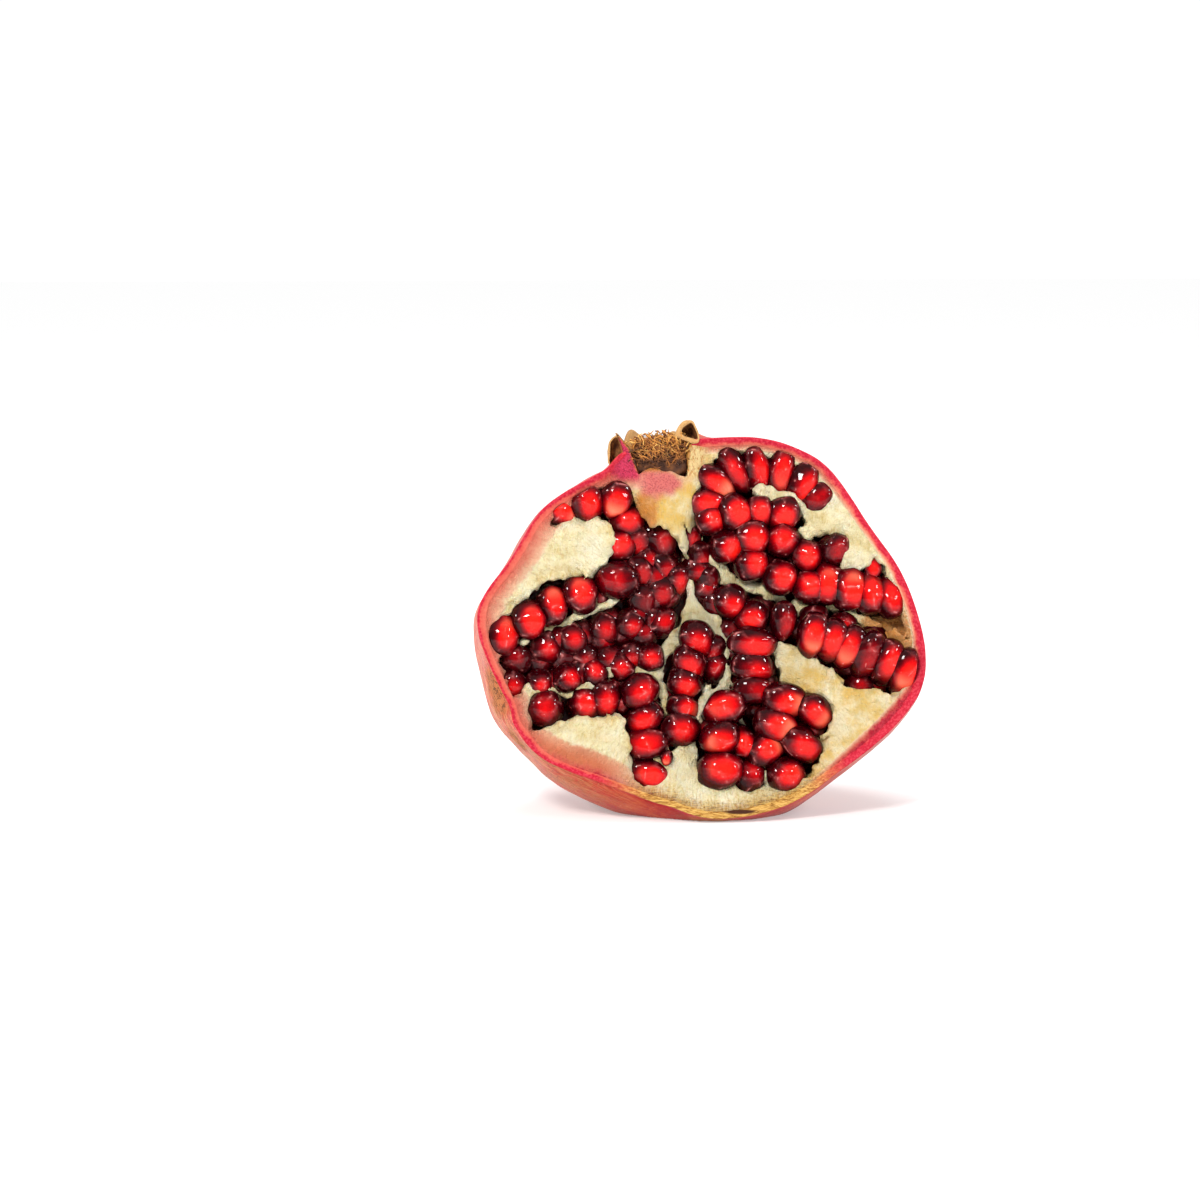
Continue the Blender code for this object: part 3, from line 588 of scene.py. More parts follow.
def skin_finish():
    skin = Finish(
        "skin_leathery", coat_roughness=0.25, coat_ior=1.35, ior=1.3, specular_ior_level=0.32
    )
    u, w, v = skin.face_place()
    broad = longitude_noise(skin, 16, 40, 2.0, 0)
    streaks = longitude_noise(skin, 1.6, 9, 4.0, 7, 0.6)
    fine = longitude_noise(skin, 0.7, 2.6, 3.0, 13, 0.4)
    place = skin.attribute("face", "Vector")
    freckle = skin.cells(place, 1.5)
    freckles = (1 - freckle.between(0.08, 0.24)) * skin.noise(place, 6, 1.0).between(0.45, 0.65)

    # Where the lines of longitude meet, the streaks fade out, or they would make a star.
    pole = skin.attribute("from_axis").between(12, 34)
    redness = 0.5 + (broad - 0.5) * 0.6 + ((streaks - 0.5) * 0.9 + (fine - 0.5) * 0.45) * pole
    mottle = skin.noise(place, 2.6, 5.0, 0.7)
    redness = redness + (mottle - 0.5) * (0.45 - pole * 0.15)
    colour = skin.ramp(redness - w.between(-20, 40) * 0.03, [
        (0.27, (0.62, 0.22, 0.055)), (0.38, (0.54, 0.085, 0.026)),
        (0.50, (0.42, 0.022, 0.012)), (0.68, (0.25, 0.007, 0.008)),
    ])
    # The lower left of the open half is a salmon pink, and the skin by the cut is crimson.
    left = (1 - u.between(-46, -10)) * (1 - w.between(-8, 14)) * (1 - v.between(14, 32))
    salmon = skin.ramp(streaks * 0.35 + fine * 0.25 + mottle * 0.4, [
        (0.41, (0.42, 0.016, 0.010)), (0.47, (0.54, 0.050, 0.024)),
        (0.53, (0.62, 0.125, 0.050)), (0.60, (0.56, 0.22, 0.070)),
    ])
    weathered = skin.noise(place, 5, 5.0, 0.7).between(0.44, 0.55) * left
    by_cut = (1 - v.between(0.3, 2.2)) * (1 - left * 0.8)
    dashes = longitude_noise(skin, 0.45, 2.2, 3.0, 23, 0.5)
    spots = skin.noise(place, 0.7, 2.0).between(0.57, 0.66) * left
    colour = skin.over(colour, [
        (left, salmon),
        (weathered * (1 - w.between(-26, 4)) * 0.85, (0.46, 0.17, 0.045)),
        (by_cut * 0.8, (0.46, 0.014, 0.040)),
        (freckles * 0.5, (0.50, 0.22, 0.07)),
        (dashes.between(0.53, 0.62) * (0.55 + left * 0.35), (0.36, 0.016, 0.010)),
        ((1 - dashes.between(0.38, 0.47)) * left * 0.75, (0.68, 0.26, 0.12)),
        (spots * 0.75, (0.18, 0.05, 0.018)),
    ])

    # A brown, cracked scar on the left, another stain at the old stem end.
    def stain(middle, size):
        ragged = oval_distance((u, w, v), middle, (1, 1, 1))
        ragged = ragged + (skin.noise(place, 2.2, 4.0) - 0.5) * size
        return 1 - ragged.between(size * 0.35, size)

    contour = skin.noise(place, 2.6, 4.0, 0.6, 0.5) - 0.5
    cracks = ((contour * contour) ** 0.5).between(0.010, 0.045)
    scar = stain((-52.0, -15, 5), 9).most(stain((-47, -27, 7), 6) * 0.7)

    # The cut thickness of the skin: a crimson line, then pink flesh, dried brown at the bottom.
    across = skin.attribute("cut")
    fibres = skin.noise(place, 0.6, 3.0)
    flesh, _ = rim_colour(skin, fibres)
    flesh = skin.mix(skin.attribute("dried"), flesh, dry_brown(skin, place))
    colour = skin.over(colour, [
        (scar * 0.8, (0.42, 0.15, 0.045)),
        (scar * (1 - cracks), (0.10, 0.035, 0.012)),
        (stain((2, -47.5, 6), 9) * 0.8, (0.36, 0.15, 0.04)),
        (skin.attribute("neck") * 0.5, (0.56, 0.12, 0.035)),
        (across, flesh),
    ])

    dimples = skin.noise(place, 0.9, 3.0) * 0.6 + skin.noise(place, 3.5, 2.0) + freckles * 0.3
    height = dimples + scar * cracks * 0.8 + across * fibres
    return skin.use(
        base_color=colour,
        roughness=(0.40 + streaks * 0.12 + scar * 0.3 + across * 0.15).least(0.9),
        coat_weight=(0.22 - left * 0.1 - scar * 0.2 - across * 0.2).most(0.0),
        normal=skin.bump(height, 0.35, 0.0006),
    )


# %% [markdown]
# ## The skin
# One grid of points goes from under the pith, over the cut edge and round the outside to the
# back. Small lumps keep it from looking turned on a lathe. Around the crown it rises into a
# neck. Where it would close the cup it is drawn back to one circle inside the crown's wall, so
# that no gap shows between the two, and it is left open within that circle.
# %% Skin
CROWN_U, CROWN_V = -9.4, 2.6
CROWN_LEAN = 0.12
CROWN_FLOOR_W = 40.0
CROWN_CUT_V = 0.35
CROWN_WALL = {
    # heights w, and the radius of the wall at each
    "outer": ([33, 37.5, 40, 42, 44.5, 46.5, 48.4], [8.2, 8.9, 9.1, 9.0, 9.1, 9.5, 10.1]),
    "inner": ([33, 37.5, 40, 42, 44.5, 46.5, 48.4], [5.4, 6.0, 6.3, 6.6, 7.2, 8.2, 9.5]),
}
NECK_RADIUS, NECK_REACH, NECK_RISE = 9.6, 6.5, 2.6
RIND_THICKNESS = 2.4
HOLE_CIRCLE = ([42, 46.6], [9.0, 9.4])  # heights w, and the radius of the hole at each
HOLE_MARGIN = 1.1
STEM_END = (2, -47, 8)
LINES_RADIUS = 48
CUP_MIDDLE_W = 42
ROWS_UNDER_RIND = (12.0, 8.0, 4.5, 2.6)
ROWS_OVER_EDGE = [
    # how far in from the skin, and how far behind the torn edge
    (2.4, 1.0), (1.8, 0.72), (1.2, 0.42), (0.7, 0.18), (0.3, 0.02),
]
SKIN_COLUMNS = 440
SKIN_ROWS = 112


def crown_middle(w):
    """Where the crown's leaning axis is at each height."""
    return CROWN_U - CROWN_LEAN * (w - CROWN_FLOOR_W)


def crown_distance(u, w, v):
    return np.hypot(u - crown_middle(w), v - CROWN_V)


def neck_share(u, w, v):
    """1 round the crown and 0 away from it, and less at the right of the cut."""
    away = crown_distance(u, w, v)
    share = (1 - smooth_step(away, NECK_RADIUS, NECK_RADIUS + NECK_REACH)) ** 1.5
    right_of_cut = smooth_step(u, -7, -3) * (1 - smooth_step(v, 3, 8))
    return share * (w > 25) * (1 - 0.9 * right_of_cut)


def with_neck(face):
    """Lifts the skin near the crown into the neck that carries it."""
    nearness = neck_share(*face.T)
    return face + np.outer(NECK_RISE * nearness, (0, 1, 0)), nearness


def with_cup_hole(face):
    """Draws the skin back to one circle inside the crown's wall, and marks what is in the cup."""
    u, w, v = face.T
    circle = np.interp(w, *HOLE_CIRCLE)
    away = crown_distance(u, w, v)
    near = (away < circle) & (w > 30)
    share = 1 + near * smooth_step(v, 1.5, 3.5) * (circle / away - 1)
    middle = crown_middle(w)
    drawn = np.stack([middle + (u - middle) * share, w, CROWN_V + (v - CROWN_V) * share], 1)
    return drawn, near & (away < circle - HOLE_MARGIN)


def own_axis(w):
    """The fruit's own axis at each height, from the stem end to the middle of the crown."""
    stem_u, stem_w, stem_v = STEM_END
    share = (w - stem_w) / (CUP_MIDDLE_W - stem_w)
    u, v = stem_u + (CROWN_U - stem_u) * share, stem_v + (CROWN_V - stem_v) * share
    return np.stack([u, w, v], 1)


def make_skin():
    angles = 2 * math.pi * np.arange(SKIN_COLUMNS) / SKIN_COLUMNS
    wave = cut_wave(angles)
    rows, cut_share, across = [], [], []

    def add_row(points, cut, inside):
        rows.append(points)
        cut_share.append(np.full(SKIN_COLUMNS, cut))
        across.append(np.full(SKIN_COLUMNS, inside))

    def ring(v, inset):
        radius = skin_radius(angles, v) - inset
        return np.stack([radius * np.cos(angles), radius * np.sin(angles), v], 1)

    flat = np.zeros(SKIN_COLUMNS)
    for v in ROWS_UNDER_RIND:
        add_row(ring(flat + v, RIND_THICKNESS), 1, RIND_THICKNESS)
    for inset, behind in ROWS_OVER_EDGE:
        add_row(ring(wave + behind, inset), 1, inset)
    add_row(ring(wave + 0.06, 0.08), 0.8, 0.08)
    add_row(ring(wave + 0.30, 0.0), 0.0, 0)
    for k in range(SKIN_ROWS):
        back = ((k + 1) / SKIN_ROWS) ** 0.97
        points = skin_point(angles, np.full(SKIN_COLUMNS, back), 0.0)
        points[:, 2] = np.maximum(points[:, 2], wave + 0.30 + 0.25 * (k + 1))
        add_row(points, 0, 0)

    face = np.concatenate(rows)
    cut_share, across = np.concatenate(cut_share), np.concatenate(across)
    outward = face - np.array([0, 0, GIRTH_DEPTH])
    outward /= np.linalg.norm(outward, axis=1)[:, None]
    lumps = 0.30 * rough_noise(face, 13, 3) + 0.10 * rough_noise(face, 4, 4)
    face = face + outward * (lumps - 0.25)[:, None] * (1 - cut_share[:, None] * 0.6)
    face, neck = with_neck(face)
    face, in_cup = with_cup_hole(face)
    quads = grid_quads(len(rows), SKIN_COLUMNS)
    quads = quads[~in_cup[quads].any(1)]

    u, v = (face - own_axis(face[:, 1])).T[[0, 2]]
    longitude = np.arctan2(v, u)
    _, angle = edge_distance(face)
    values = {
        "cut": cut_share, "neck": neck, "dried": dried_share(angle), "from_axis": np.hypot(u, v),
        **rim_masks(across, angle),
    }
    around = LINES_RADIUS * np.cos(longitude), LINES_RADIUS * np.sin(longitude)
    vectors = {"lines": np.stack([*around, face[:, 1]], 1)}
    piece("skin", face, quads, skin_finish(), ["rind"], values, vectors)


make_skin()


# %% [markdown]
# ## The chambers
# Thin membranes part the fruit into chambers packed with arils. Each chamber is an outline
# on the face, in millimetres. The walls between two outlines are the membranes, and the
# broad places between them are the pads of pith that the arils were seated on.
# %% Chamber outlines
CHAMBERS = {
    "left": [
        (-36.5, 26.5), (-31.5, 30.5), (-28.3, 32.8), (-24, 35), (-19.5, 35.3), (-16, 33),
        (-14.5, 29), (-12, 26.5), (-7.5, 25.5), (-4.5, 21), (-3, 14.5), (-3, 8.5),
        (-5, 3), (-9.5, -2.5), (-12, -8), (-16.5, -8.5), (-20.5, -7.5), (-25.5, -10),
        (-30, -13.5), (-35, -13.5), (-39.5, -12), (-43, -12.5), (-45, -16), (-48, -13.5),
        (-49.5, -8.5), (-49.5, -5.5), (-46, -5.5), (-42.5, -2.5), (-34.5, 0.5),
        (-24, 5.5), (-18.5, 8.5), (-20.5, 9.5), (-25, 7.5), (-35.5, 2.5), (-43.5, -1),
        (-47.5, -4), (-50, -3), (-50.5, 2.5), (-47, 5.5), (-42.5, 9), (-38.5, 12.5),
        (-33, 14), (-27, 13), (-24.5, 15.5), (-20, 23), (-22, 27.5), (-26, 29),
        (-31.5, 28),
    ],
    "right": [
        (-4, 26), (-0.5, 22), (2.5, 16.5), (7, 10.5), (15, 8.5), (24, 4), (30, 5),
        (35.5, 4), (41.5, -0.5), (48, -4.5), (50.5, -7.5), (51, -12.5), (48.5, -16),
        (46, -16.5), (43, -15), (35.5, -14.5), (34, -10.5), (30, -8.5), (25, -3.5),
        (19, -2.5), (17, -4.5), (19, -9.5), (19.5, -14.5), (26, -15.5), (31, -18.5),
        (31.5, -24), (29, -27.5), (28.5, -32.5), (25, -36), (20, -38.5), (16.5, -37),
        (14, -32.5), (12, -26.5), (9.5, -20), (7.5, -14.5), (7, -8.5), (7, -2.5), (5, 3),
        (0.5, 8), (-1.5, 13.5), (-3, 20),
    ],
    "centre": [
        (0, 0.5), (3, -1.5), (5.5, -5.5), (5.5, -10.5), (3, -14), (2, -11.5), (0, -11.5),
        (0, -15), (-1.5, -20), (-3, -24.5), (-6, -27.5), (-9, -30), (-9.5, -26),
        (-8, -20), (-9, -14.5), (-10, -10.5), (-7.5, -5.5), (-3.5, -2),
    ],
    "bottom": [
        (4.5, -15.5), (7.5, -19), (10, -24), (11.5, -29), (13.5, -34), (14, -37.5),
        (10.5, -40), (7, -38.5), (2.5, -38.5), (-0.5, -35.5), (-1.5, -30.5),
        (-1.5, -26.5), (0.5, -21),
    ],
    "lower_left": [
        (-43, -19), (-42, -16.5), (-38.5, -14.5), (-34.5, -16), (-30, -16.5), (-26, -14),
        (-21.5, -11), (-16.5, -11.5), (-12.5, -13), (-11, -17), (-10, -22.5),
        (-11, -28.5), (-12.5, -33), (-11.5, -36.5), (-14.5, -38), (-17, -36),
        (-17.5, -30.5), (-19, -20.5), (-25.5, -20), (-31.5, -21), (-39, -23.5),
        (-42, -24),
    ],
    "upper_right": [
        (0.5, 37), (1.5, 40.5), (4, 42.7), (8.5, 43.5), (13.5, 43.5), (18.5, 42),
        (23.5, 40.5), (27, 38), (30.5, 35), (31.5, 32), (30, 30), (26, 31.5), (18.5, 35.5),
        (14.5, 36), (13, 34.5), (15.5, 31.5), (21, 31.5), (24.5, 29.5), (25.5, 26),
        (24, 24), (28, 22.5), (31.5, 23.5), (35, 22), (35.5, 18.5), (34.5, 15.5),
        (37.5, 14), (42, 14.5), (43, 17.5), (46, 14), (48, 10), (49.5, 4.5), (50.5, -2),
        (48, -1), (41.5, 3), (36, 6.5), (30.5, 8), (25.5, 7), (20, 9.5), (15, 12),
        (10.5, 13.5), (6, 17), (2, 21.5), (0, 26.5), (-0.5, 32),
    ],
}
CHAMBER_FLOOR_V = 13.2


def outline_distance(outline, u, w):
    """Signed distance of places from a closed outline, negative inside it."""
    ends = np.array(outline, float)
    nearest = np.full(u.shape, 1e9)
    inside = np.zeros(u.shape, bool)
    for (au, aw), (bu, bw) in zip(ends, np.roll(ends, -1, 0)):
        du, dw = bu - au, bw - aw
        along = np.clip(((u - au) * du + (w - aw) * dw) / (du * du + dw * dw), 0, 1)
        nearest = np.minimum(nearest, (u - au - along * du) ** 2 + (w - aw - along * dw) ** 2)
        crosses = (aw > w) != (bw > w)
        at = au + (w - aw) / (dw if dw else 1e-9) * du
        inside ^= crosses & (u < at)
    return np.where(inside, -1, 1) * np.sqrt(nearest)


# %% [markdown]
# ## The pith and its membranes
# Pith is soft, torn and dished, and its membranes stand up as thin sheets. Pushing polygons
# about can't make such walls. So the shape is written as a field of distances on a fine grid:
# inside the skin, behind the torn front, and outside every chamber. Where the field changes
# sign, a surface-nets pass lays down the mesh.
# %% Torn front of the pith
FRONT_DEPTHS = [
    # u, w and depth of the front there, in millimetres
    (-26, 20, 1.6), (-38, 18, 1.0), (-24, 27, 2.0), (-44, 8, 1.6), (-15, 37, 2.4),
    (-10, 30, 3.0), (-5, 32, 3.2), (-2, 24, 4.6), (0, 14, 5.8), (-1, 4, 6.0), (6, 5, 5.8),
    (-6, -4, 5.6), (-12, -10, 5.2), (-22, -9, 4.6), (-30, -14.5, 4.2), (-40, -13, 3.8),
    (-36, 1.5, 4.2), (-22, 7.5, 5.0), (-46, -3, 3.6), (-30, -27, 1.4), (-22, -27, 2.0),
    (-10, -20, 5.0), (-9, -36, 2.4), (0, -22, 5.0), (3, -16, 5.4), (7, -12, 5.0),
    (11, -22, 4.2), (15, -34, 3.4), (24, -8, 4.0), (30, -13, 2.6), (36, -22, 1.4),
    (44, -18, 1.2), (30, -34, 1.6), (8, -42, 1.4), (20, 8, 5.0), (32, 7, 4.4), (44, 1, 3.6),
    (50, -4, 2.6), (16, 34, 2.6), (24, 31, 2.0), (30, 27, 1.2), (38, 19, 1.4), (44, 12, 3.0),
    (47, 17, 1.8), (4, 19, 5.0), (28, 39, 1.2),
]
FRONT_BLEND = 6.0


def front_depth(u, w):
    """Depth of the pith's front, blended between the known places."""
    total = weight = 0
    for at_u, at_w, depth in FRONT_DEPTHS:
        share = 1 / ((u - at_u) ** 2 + (w - at_w) ** 2 + FRONT_BLEND) ** 2
        total, weight = total + share * depth, weight + share
    return total / weight


PITH_CELL = 0.53
PITH_UNDER_SKIN = 1.6
WALL_SWAY = 0.75
CUP_MIDDLE_U, CUP_FLOOR_W = -10.0, 40.1
FLESH_FOOT_W = 33
FLESH_TOP = ([-18, -14, -5, -2], [48.4, 46.5, 46.5, 46.4])  # places u, and its height at each
BARE_HOLLOW_RISE = 7.2
PITH_LOW = np.array([-57.0, -48.5, -1.5])
PITH_HIGH = np.array([57.0, 48.5, 15.2])
pith_axes = [np.arange(low, high, PITH_CELL) for low, high in zip(PITH_LOW, PITH_HIGH)]
flat_u, flat_w = np.meshgrid(pith_axes[0], pith_axes[1], indexing="ij")
chamber_map = np.min([outline_distance(o, flat_u, flat_w) for o in CHAMBERS.values()], 0)
front_map = front_depth(flat_u, flat_w)
print("pith grid", [len(a) for a in pith_axes])


def read_map(flat_map, u, w):
    """A value of a map of the face, between its grid points."""
    x = np.clip((u - PITH_LOW[0]) / PITH_CELL, 0, flat_map.shape[0] - 1.001)
    y = np.clip((w - PITH_LOW[1]) / PITH_CELL, 0, flat_map.shape[1] - 1.001)
    i, j = x.astype(int), y.astype(int)
    s, t = x - i, y - j
    low = flat_map[i, j] * (1 - s) + flat_map[i + 1, j] * s
    high = flat_map[i, j + 1] * (1 - s) + flat_map[i + 1, j + 1] * s
    return low * (1 - t) + high * t


# %% The field of the pith
def soft_most(first, second, blend):
    """The larger of two fields, with the corner between them rounded."""
    part = np.clip(0.5 + 0.5 * (first - second) / blend, 0, 1)
    return second * (1 - part) + first * part + blend * part * (1 - part)


def soft_least(first, second, blend):
    return -soft_most(-first, -second, blend)


def pith_field():
    """Negative inside the pith, positive outside, in millimetres."""
    u, w, v = np.meshgrid(*pith_axes, indexing="ij")
    places = np.stack([u, w, v], -1)
    angle = np.arctan2(w, u)
    wave = cut_wave(angle[:, :, 0])[:, :, None]
    rim = smooth_step(cut_radius(angle[:, :, 0]) - np.hypot(u, w)[:, :, 0], 1.0, 7.0)[:, :, None]
    wall = 1 - smooth_step(np.abs(chamber_map), 0.8, 3.0)[:, :, None]

    # Walls lean and buckle, so the chamber map is read a little to one side at each depth.
    sway_u, sway_w = (WALL_SWAY * rough_noise(places, 8, seed) for seed in (11, 13))
    frayed = 0.8 * rough_noise(places, 2.4, 12) + 0.85 * rough_noise(places, 1.3, 14)
    deeper = smooth_step(v, 3, 13)
    chamber = read_map(chamber_map, u + sway_u * (0.6 + deeper), w + sway_w * (0.6 + deeper))
    chamber = chamber - 0.1 - 0.6 * deeper + frayed * (1 - 0.6 * deeper)

    # The front is torn: rough on the pads, ragged along the membranes.
    flat_places = places * np.array([1, 1, 0.0])
    torn = (
        0.55 * rough_noise(flat_places, 4.5, 15) + 0.30 * rough_noise(flat_places, 1.8, 16)
        + 0.14 * rough_noise(flat_places, 0.9, 19)
    )
    ragged = (
        1.1 * rough_noise(flat_places, 3.2, 17) + 0.6 * rough_noise(flat_places, 1.4, 18)
    ) * wall
    depth = (wave + 0.9) * (1 - rim) + front_map[:, :, None] * rim + (torn + ragged) * rim
    front = depth - v

    # The crown's neck is lifted like the skin over it, and its wall stands round the cup.
    from_crown = crown_distance(u, w, v)
    low_w = w - NECK_RISE * neck_share(u, w, v)
    low_angle = np.arctan2(low_w, u)
    skin_side = np.hypot(u, low_w) - skin_radius(low_angle, np.minimum(v, GIRTH_DEPTH))
    skin_side = skin_side + PITH_UNDER_SKIN
    wall_out, wall_in = (np.interp(w, *CROWN_WALL[k]) for k in ("outer", "inner"))
    top = np.interp(u, *FLESH_TOP) + 0.5 * torn
    collar = np.maximum(np.maximum(from_crown - wall_out, w - top), FLESH_FOOT_W - w)
    cup_floor = CUP_FLOOR_W - ((u - CUP_MIDDLE_U) / 5.5) ** 2 * 1.6 + torn * 1.2
    cup = np.maximum(from_crown - wall_in + torn * 0.9, cup_floor - w)
    table = FLOOR_Z + 1.8 - leaned(places.reshape(-1, 3))[:, 2].reshape(u.shape)
    body = np.maximum(soft_least(skin_side, collar, 1.2), table)
    body = soft_most(body, -cup, 0.4)
    near_crown = 1 - smooth_step(from_crown + np.abs(w - 41) * 0.4, 9, 14)
    crown_front = CROWN_CUT_V + 0.2 + 0.4 * torn - v
    front = front * (1 - near_crown) + crown_front * near_crown
    solid = soft_most(body, front, 0.5)
    # Towards the right, one chamber has lost its arils, and it is only a shallow hollow there.
    bare = smooth_step(u, 40, 43) * (1 - smooth_step(w, 3, 6)) * smooth_step(w, -9, -6)
    cavity = np.maximum(chamber, v - CHAMBER_FLOOR_V + BARE_HOLLOW_RISE * bare)
    return soft_most(solid, -cavity, 0.5)


def surface_nets(field, axes):
    """A quad mesh where the field changes sign: one point for each cell that it passes through."""
    inside = field < 0
    corners = [
        tuple(slice(s, field.shape[a] - 1 + s) for a, s in enumerate(step))
        for step in itertools.product((0, 1), repeat=3)
    ]
    count = sum(inside[c].astype(np.int8) for c in corners)
    active = (count > 0) & (count < 8)
    number = np.full(active.shape, -1)
    number[active] = np.arange(active.sum())
    cell = np.argwhere(active)
    values = np.stack([field[c][active] for c in corners], 1)
    steps = np.array(list(itertools.product((0, 1), repeat=3)), float)
    total, hits = np.zeros((len(cell), 3)), np.zeros(len(cell))
    for a, b in itertools.combinations(range(8), 2):
        if np.abs(steps[a] - steps[b]).sum() == 1:
            changes = (values[:, a] < 0) != (values[:, b] < 0)
            gap = np.where(changes, values[:, a] - values[:, b], 1)
            t = np.where(changes, values[:, a] / gap, 0)
            total += changes[:, None] * (steps[a] + t[:, None] * (steps[b] - steps[a]))
            hits += changes
    spacing = np.array([axis[1] - axis[0] for axis in axes])
    origin = np.array([axis[0] for axis in axes])
    points = origin + (cell + total / hits[:, None]) * spacing

    quads = []
    for axis in range(3):
        first, second = [a for a in range(3) if a != axis]
        low = [slice(1, -1)] * 3
        low[axis] = slice(0, -1)
        high = list(low)
        high[axis] = slice(1, None)
        enters, leaves = inside[tuple(low)], inside[tuple(high)]
        for flip, crossing in ((axis == 1, enters & ~leaves), (axis != 1, ~enters & leaves)):
            spots = np.argwhere(crossing)
            spots += [0 if a == axis else 1 for a in range(3)]
            ring = []
            for back_first, back_second in ((1, 1), (0, 1), (0, 0), (1, 0)):
                near = spots.copy()
                near[:, first] -= back_first
                near[:, second] -= back_second
                ring.append(number[tuple(near.T)])
            ring = np.stack(ring, 1)
            quads.append(ring[:, ::-1] if flip else ring)
    return points, np.concatenate(quads)


# %% [markdown]
# ## Finish of the pith
# Pith is dull and slightly spongy, cream on the pads and yellower where it has dried. Near the
# skin it is pink, at the old stem end it is brown and fibrous, and down in the chambers the juice
# has stained it red, with painted shade that darkens the chamber walls the deeper they lie. Small
# pits in the pads are painted darker, as shade. Each of these is a mask made from the point's
# place on the face.
# %% Pith finish
def pith_finish():
    pith = Finish("pith_spongy", subsurface_weight=0.1, subsurface_scale=0.001, ior=1.35)
    u, w, v = pith.face_place()
    place = pith.attribute("face", "Vector")
    clouds = pith.noise(place, 6, 4.0, 0.6)
    crumbs = pith.noise(place, 0.8, 4.0, 0.65)
    strands = pith.noise(pith.stretched(place, (1.0, 0.35, 1.0)), 0.6, 4.0, 0.65, 0.8)

    cream = pith.ramp(clouds * 0.6 + strands * 0.4, [
        (0.36, (0.66, 0.50, 0.20)), (0.47, (0.82, 0.72, 0.42)), (0.60, (0.90, 0.85, 0.64)),
    ])
    yellow_side = u.between(4, 30) * (1 - w.between(-12, 2)) * 0.8
    top = 1 - pith.attribute("crown_near").between(8, 24)
    yellowness = yellow_side.most(top) * (0.25 + 0.9 * (1 - clouds).between(0.35, 0.65))

    def patch(middle, reach):
        """1 in an oval place on the face, with a ragged border."""
        return 1 - (oval_distance((u, w), middle, reach) + (crumbs - 0.5) * 0.8).between(0.55, 1.05)

    dents = patch((-13.6, 29.5), (3.8, 7.4)).most(patch((46.0, -1.5), (9.0, 9.5)))
    rays = pith.noise(pith.stretched(pith.attribute("polar", "Vector"), (1, 0.16, 1)), 0.45, 3.0)
    flecks = strands.between(0.54, 0.66) * crumbs.between(0.4, 0.6)
    # Painted shade: the low spots of the bump are painted darker.
    pit_shade = (1 - crumbs.between(0.30, 0.46)) * 0.35

    # Dry brown fibres at the old stem end, and red juice stain on the chamber walls, with painted
    # shade that darkens them with depth.
    from_rim = pith.attribute("inwards")
    fibrous = pith.attribute("dried") * (1 - (from_rim + strands * 6).between(4.0, 9.0))
    hollow = pith.attribute("hollow")
    sunk = v.between(5.0, 12.0)
    juice_stain_and_depth_shade = hollow * (1 - dents * 0.9)

    # The pink of the band fades out where the band ends, whatever its noise says.
    pink, band = rim_colour(pith, crumbs)
    low_left = (1 - u.between(-38, -4)) * (1 - w.between(-34, -20))
    pink = pith.mix(low_left * band.between(0.0, 0.35) * 0.9, pink, (0.60, 0.17, 0.060))
    reddish = (1 - band.between(0.8, 1.05)) * (1 - pith.attribute("dried") * 0.85)
    reddish = reddish * (1 - 0.75 * pith.attribute("band").between(0.85, 1.0))

    # Flesh of the crown: magenta on the left, tan on the right, pink on its domed floor.
    specks = pith.noise(place, 0.42, 2.0).between(0.50, 0.60)
    magenta = pith.mix(specks * 0.7, (0.62, 0.035, 0.10), (0.34, 0.008, 0.035))
    rosy = pith.mix(specks * 0.6, (0.70, 0.17, 0.15), (0.44, 0.045, 0.06))
    tan = pith.mix(strands.between(0.45, 0.65), (0.80, 0.60, 0.28), (0.56, 0.24, 0.06))

    colour = pith.over(cream, [
        (yellowness, (0.74, 0.46, 0.09)),
        (rays.between(0.5, 0.66) * 0.45, (0.66, 0.52, 0.24)),
        (flecks * 0.5, (0.58, 0.42, 0.14)),
        (pit_shade, (0.50, 0.38, 0.16)),
        (fibrous, dry_brown(pith, place)),
        # Juice stain on the chamber walls, then painted shade that darkens the deeper walls.
        (juice_stain_and_depth_shade * (0.10 + 0.6 * sunk), (0.52, 0.07, 0.035)),
        (juice_stain_and_depth_shade * sunk * sunk, (0.36, 0.012, 0.014)),
        (dents * 0.92, (0.56, 0.20, 0.028)),
        (reddish, pink),
        (pith.attribute("wall_right"), tan),
        (pith.attribute("mound"), rosy),
        (pith.attribute("wall_left"), magenta),
        (pith.attribute("cup_lining"), (0.55, 0.22, 0.03)),
    ])

    height = crumbs * 0.9 + strands * (0.7 + fibrous) + clouds * 0.5 - rays * 0.5
    return pith.use(
        base_color=colour,
        roughness=0.62 + crumbs * 0.2 - hollow * sunk * 0.35,
        coat_weight=hollow * sunk * 0.6,
        normal=pith.bump(height, 1.0, 0.0013),
    )


# %% Pith
def crown_masks(face):
    """Where the flesh of the crown's walls, domed floor and lining is, from 0 to 1."""
    u, w = face[:, 0], face[:, 1]
    away = crown_distance(*face.T)
    near = (1 - smooth_step(away, 10, 13.5)) * smooth_step(w, 36.0, 38.5)
    inner = np.interp(w, *CROWN_WALL["inner"])
    lining = (1 - smooth_step(away, inner + 0.2, inner + 0.9)) * smooth_step(w, 38.5, 40.5)
    mound = np.hypot((u - CUP_MIDDLE_U) / 7.2, (w - 36.6) / 4.2) + 0.25 * rough_noise(face, 1.8, 51)
    return {
        "wall_left": near * (1 - smooth_step(u, -15.8, -14.4)),
        "wall_right": near * smooth_step(u, -6, -3.5),
        "cup_lining": lining,
        "mound": (1 - smooth_step(mound, 0.45, 1.2)) * (1 - smooth_step(away, 9.5, 12)),
    }


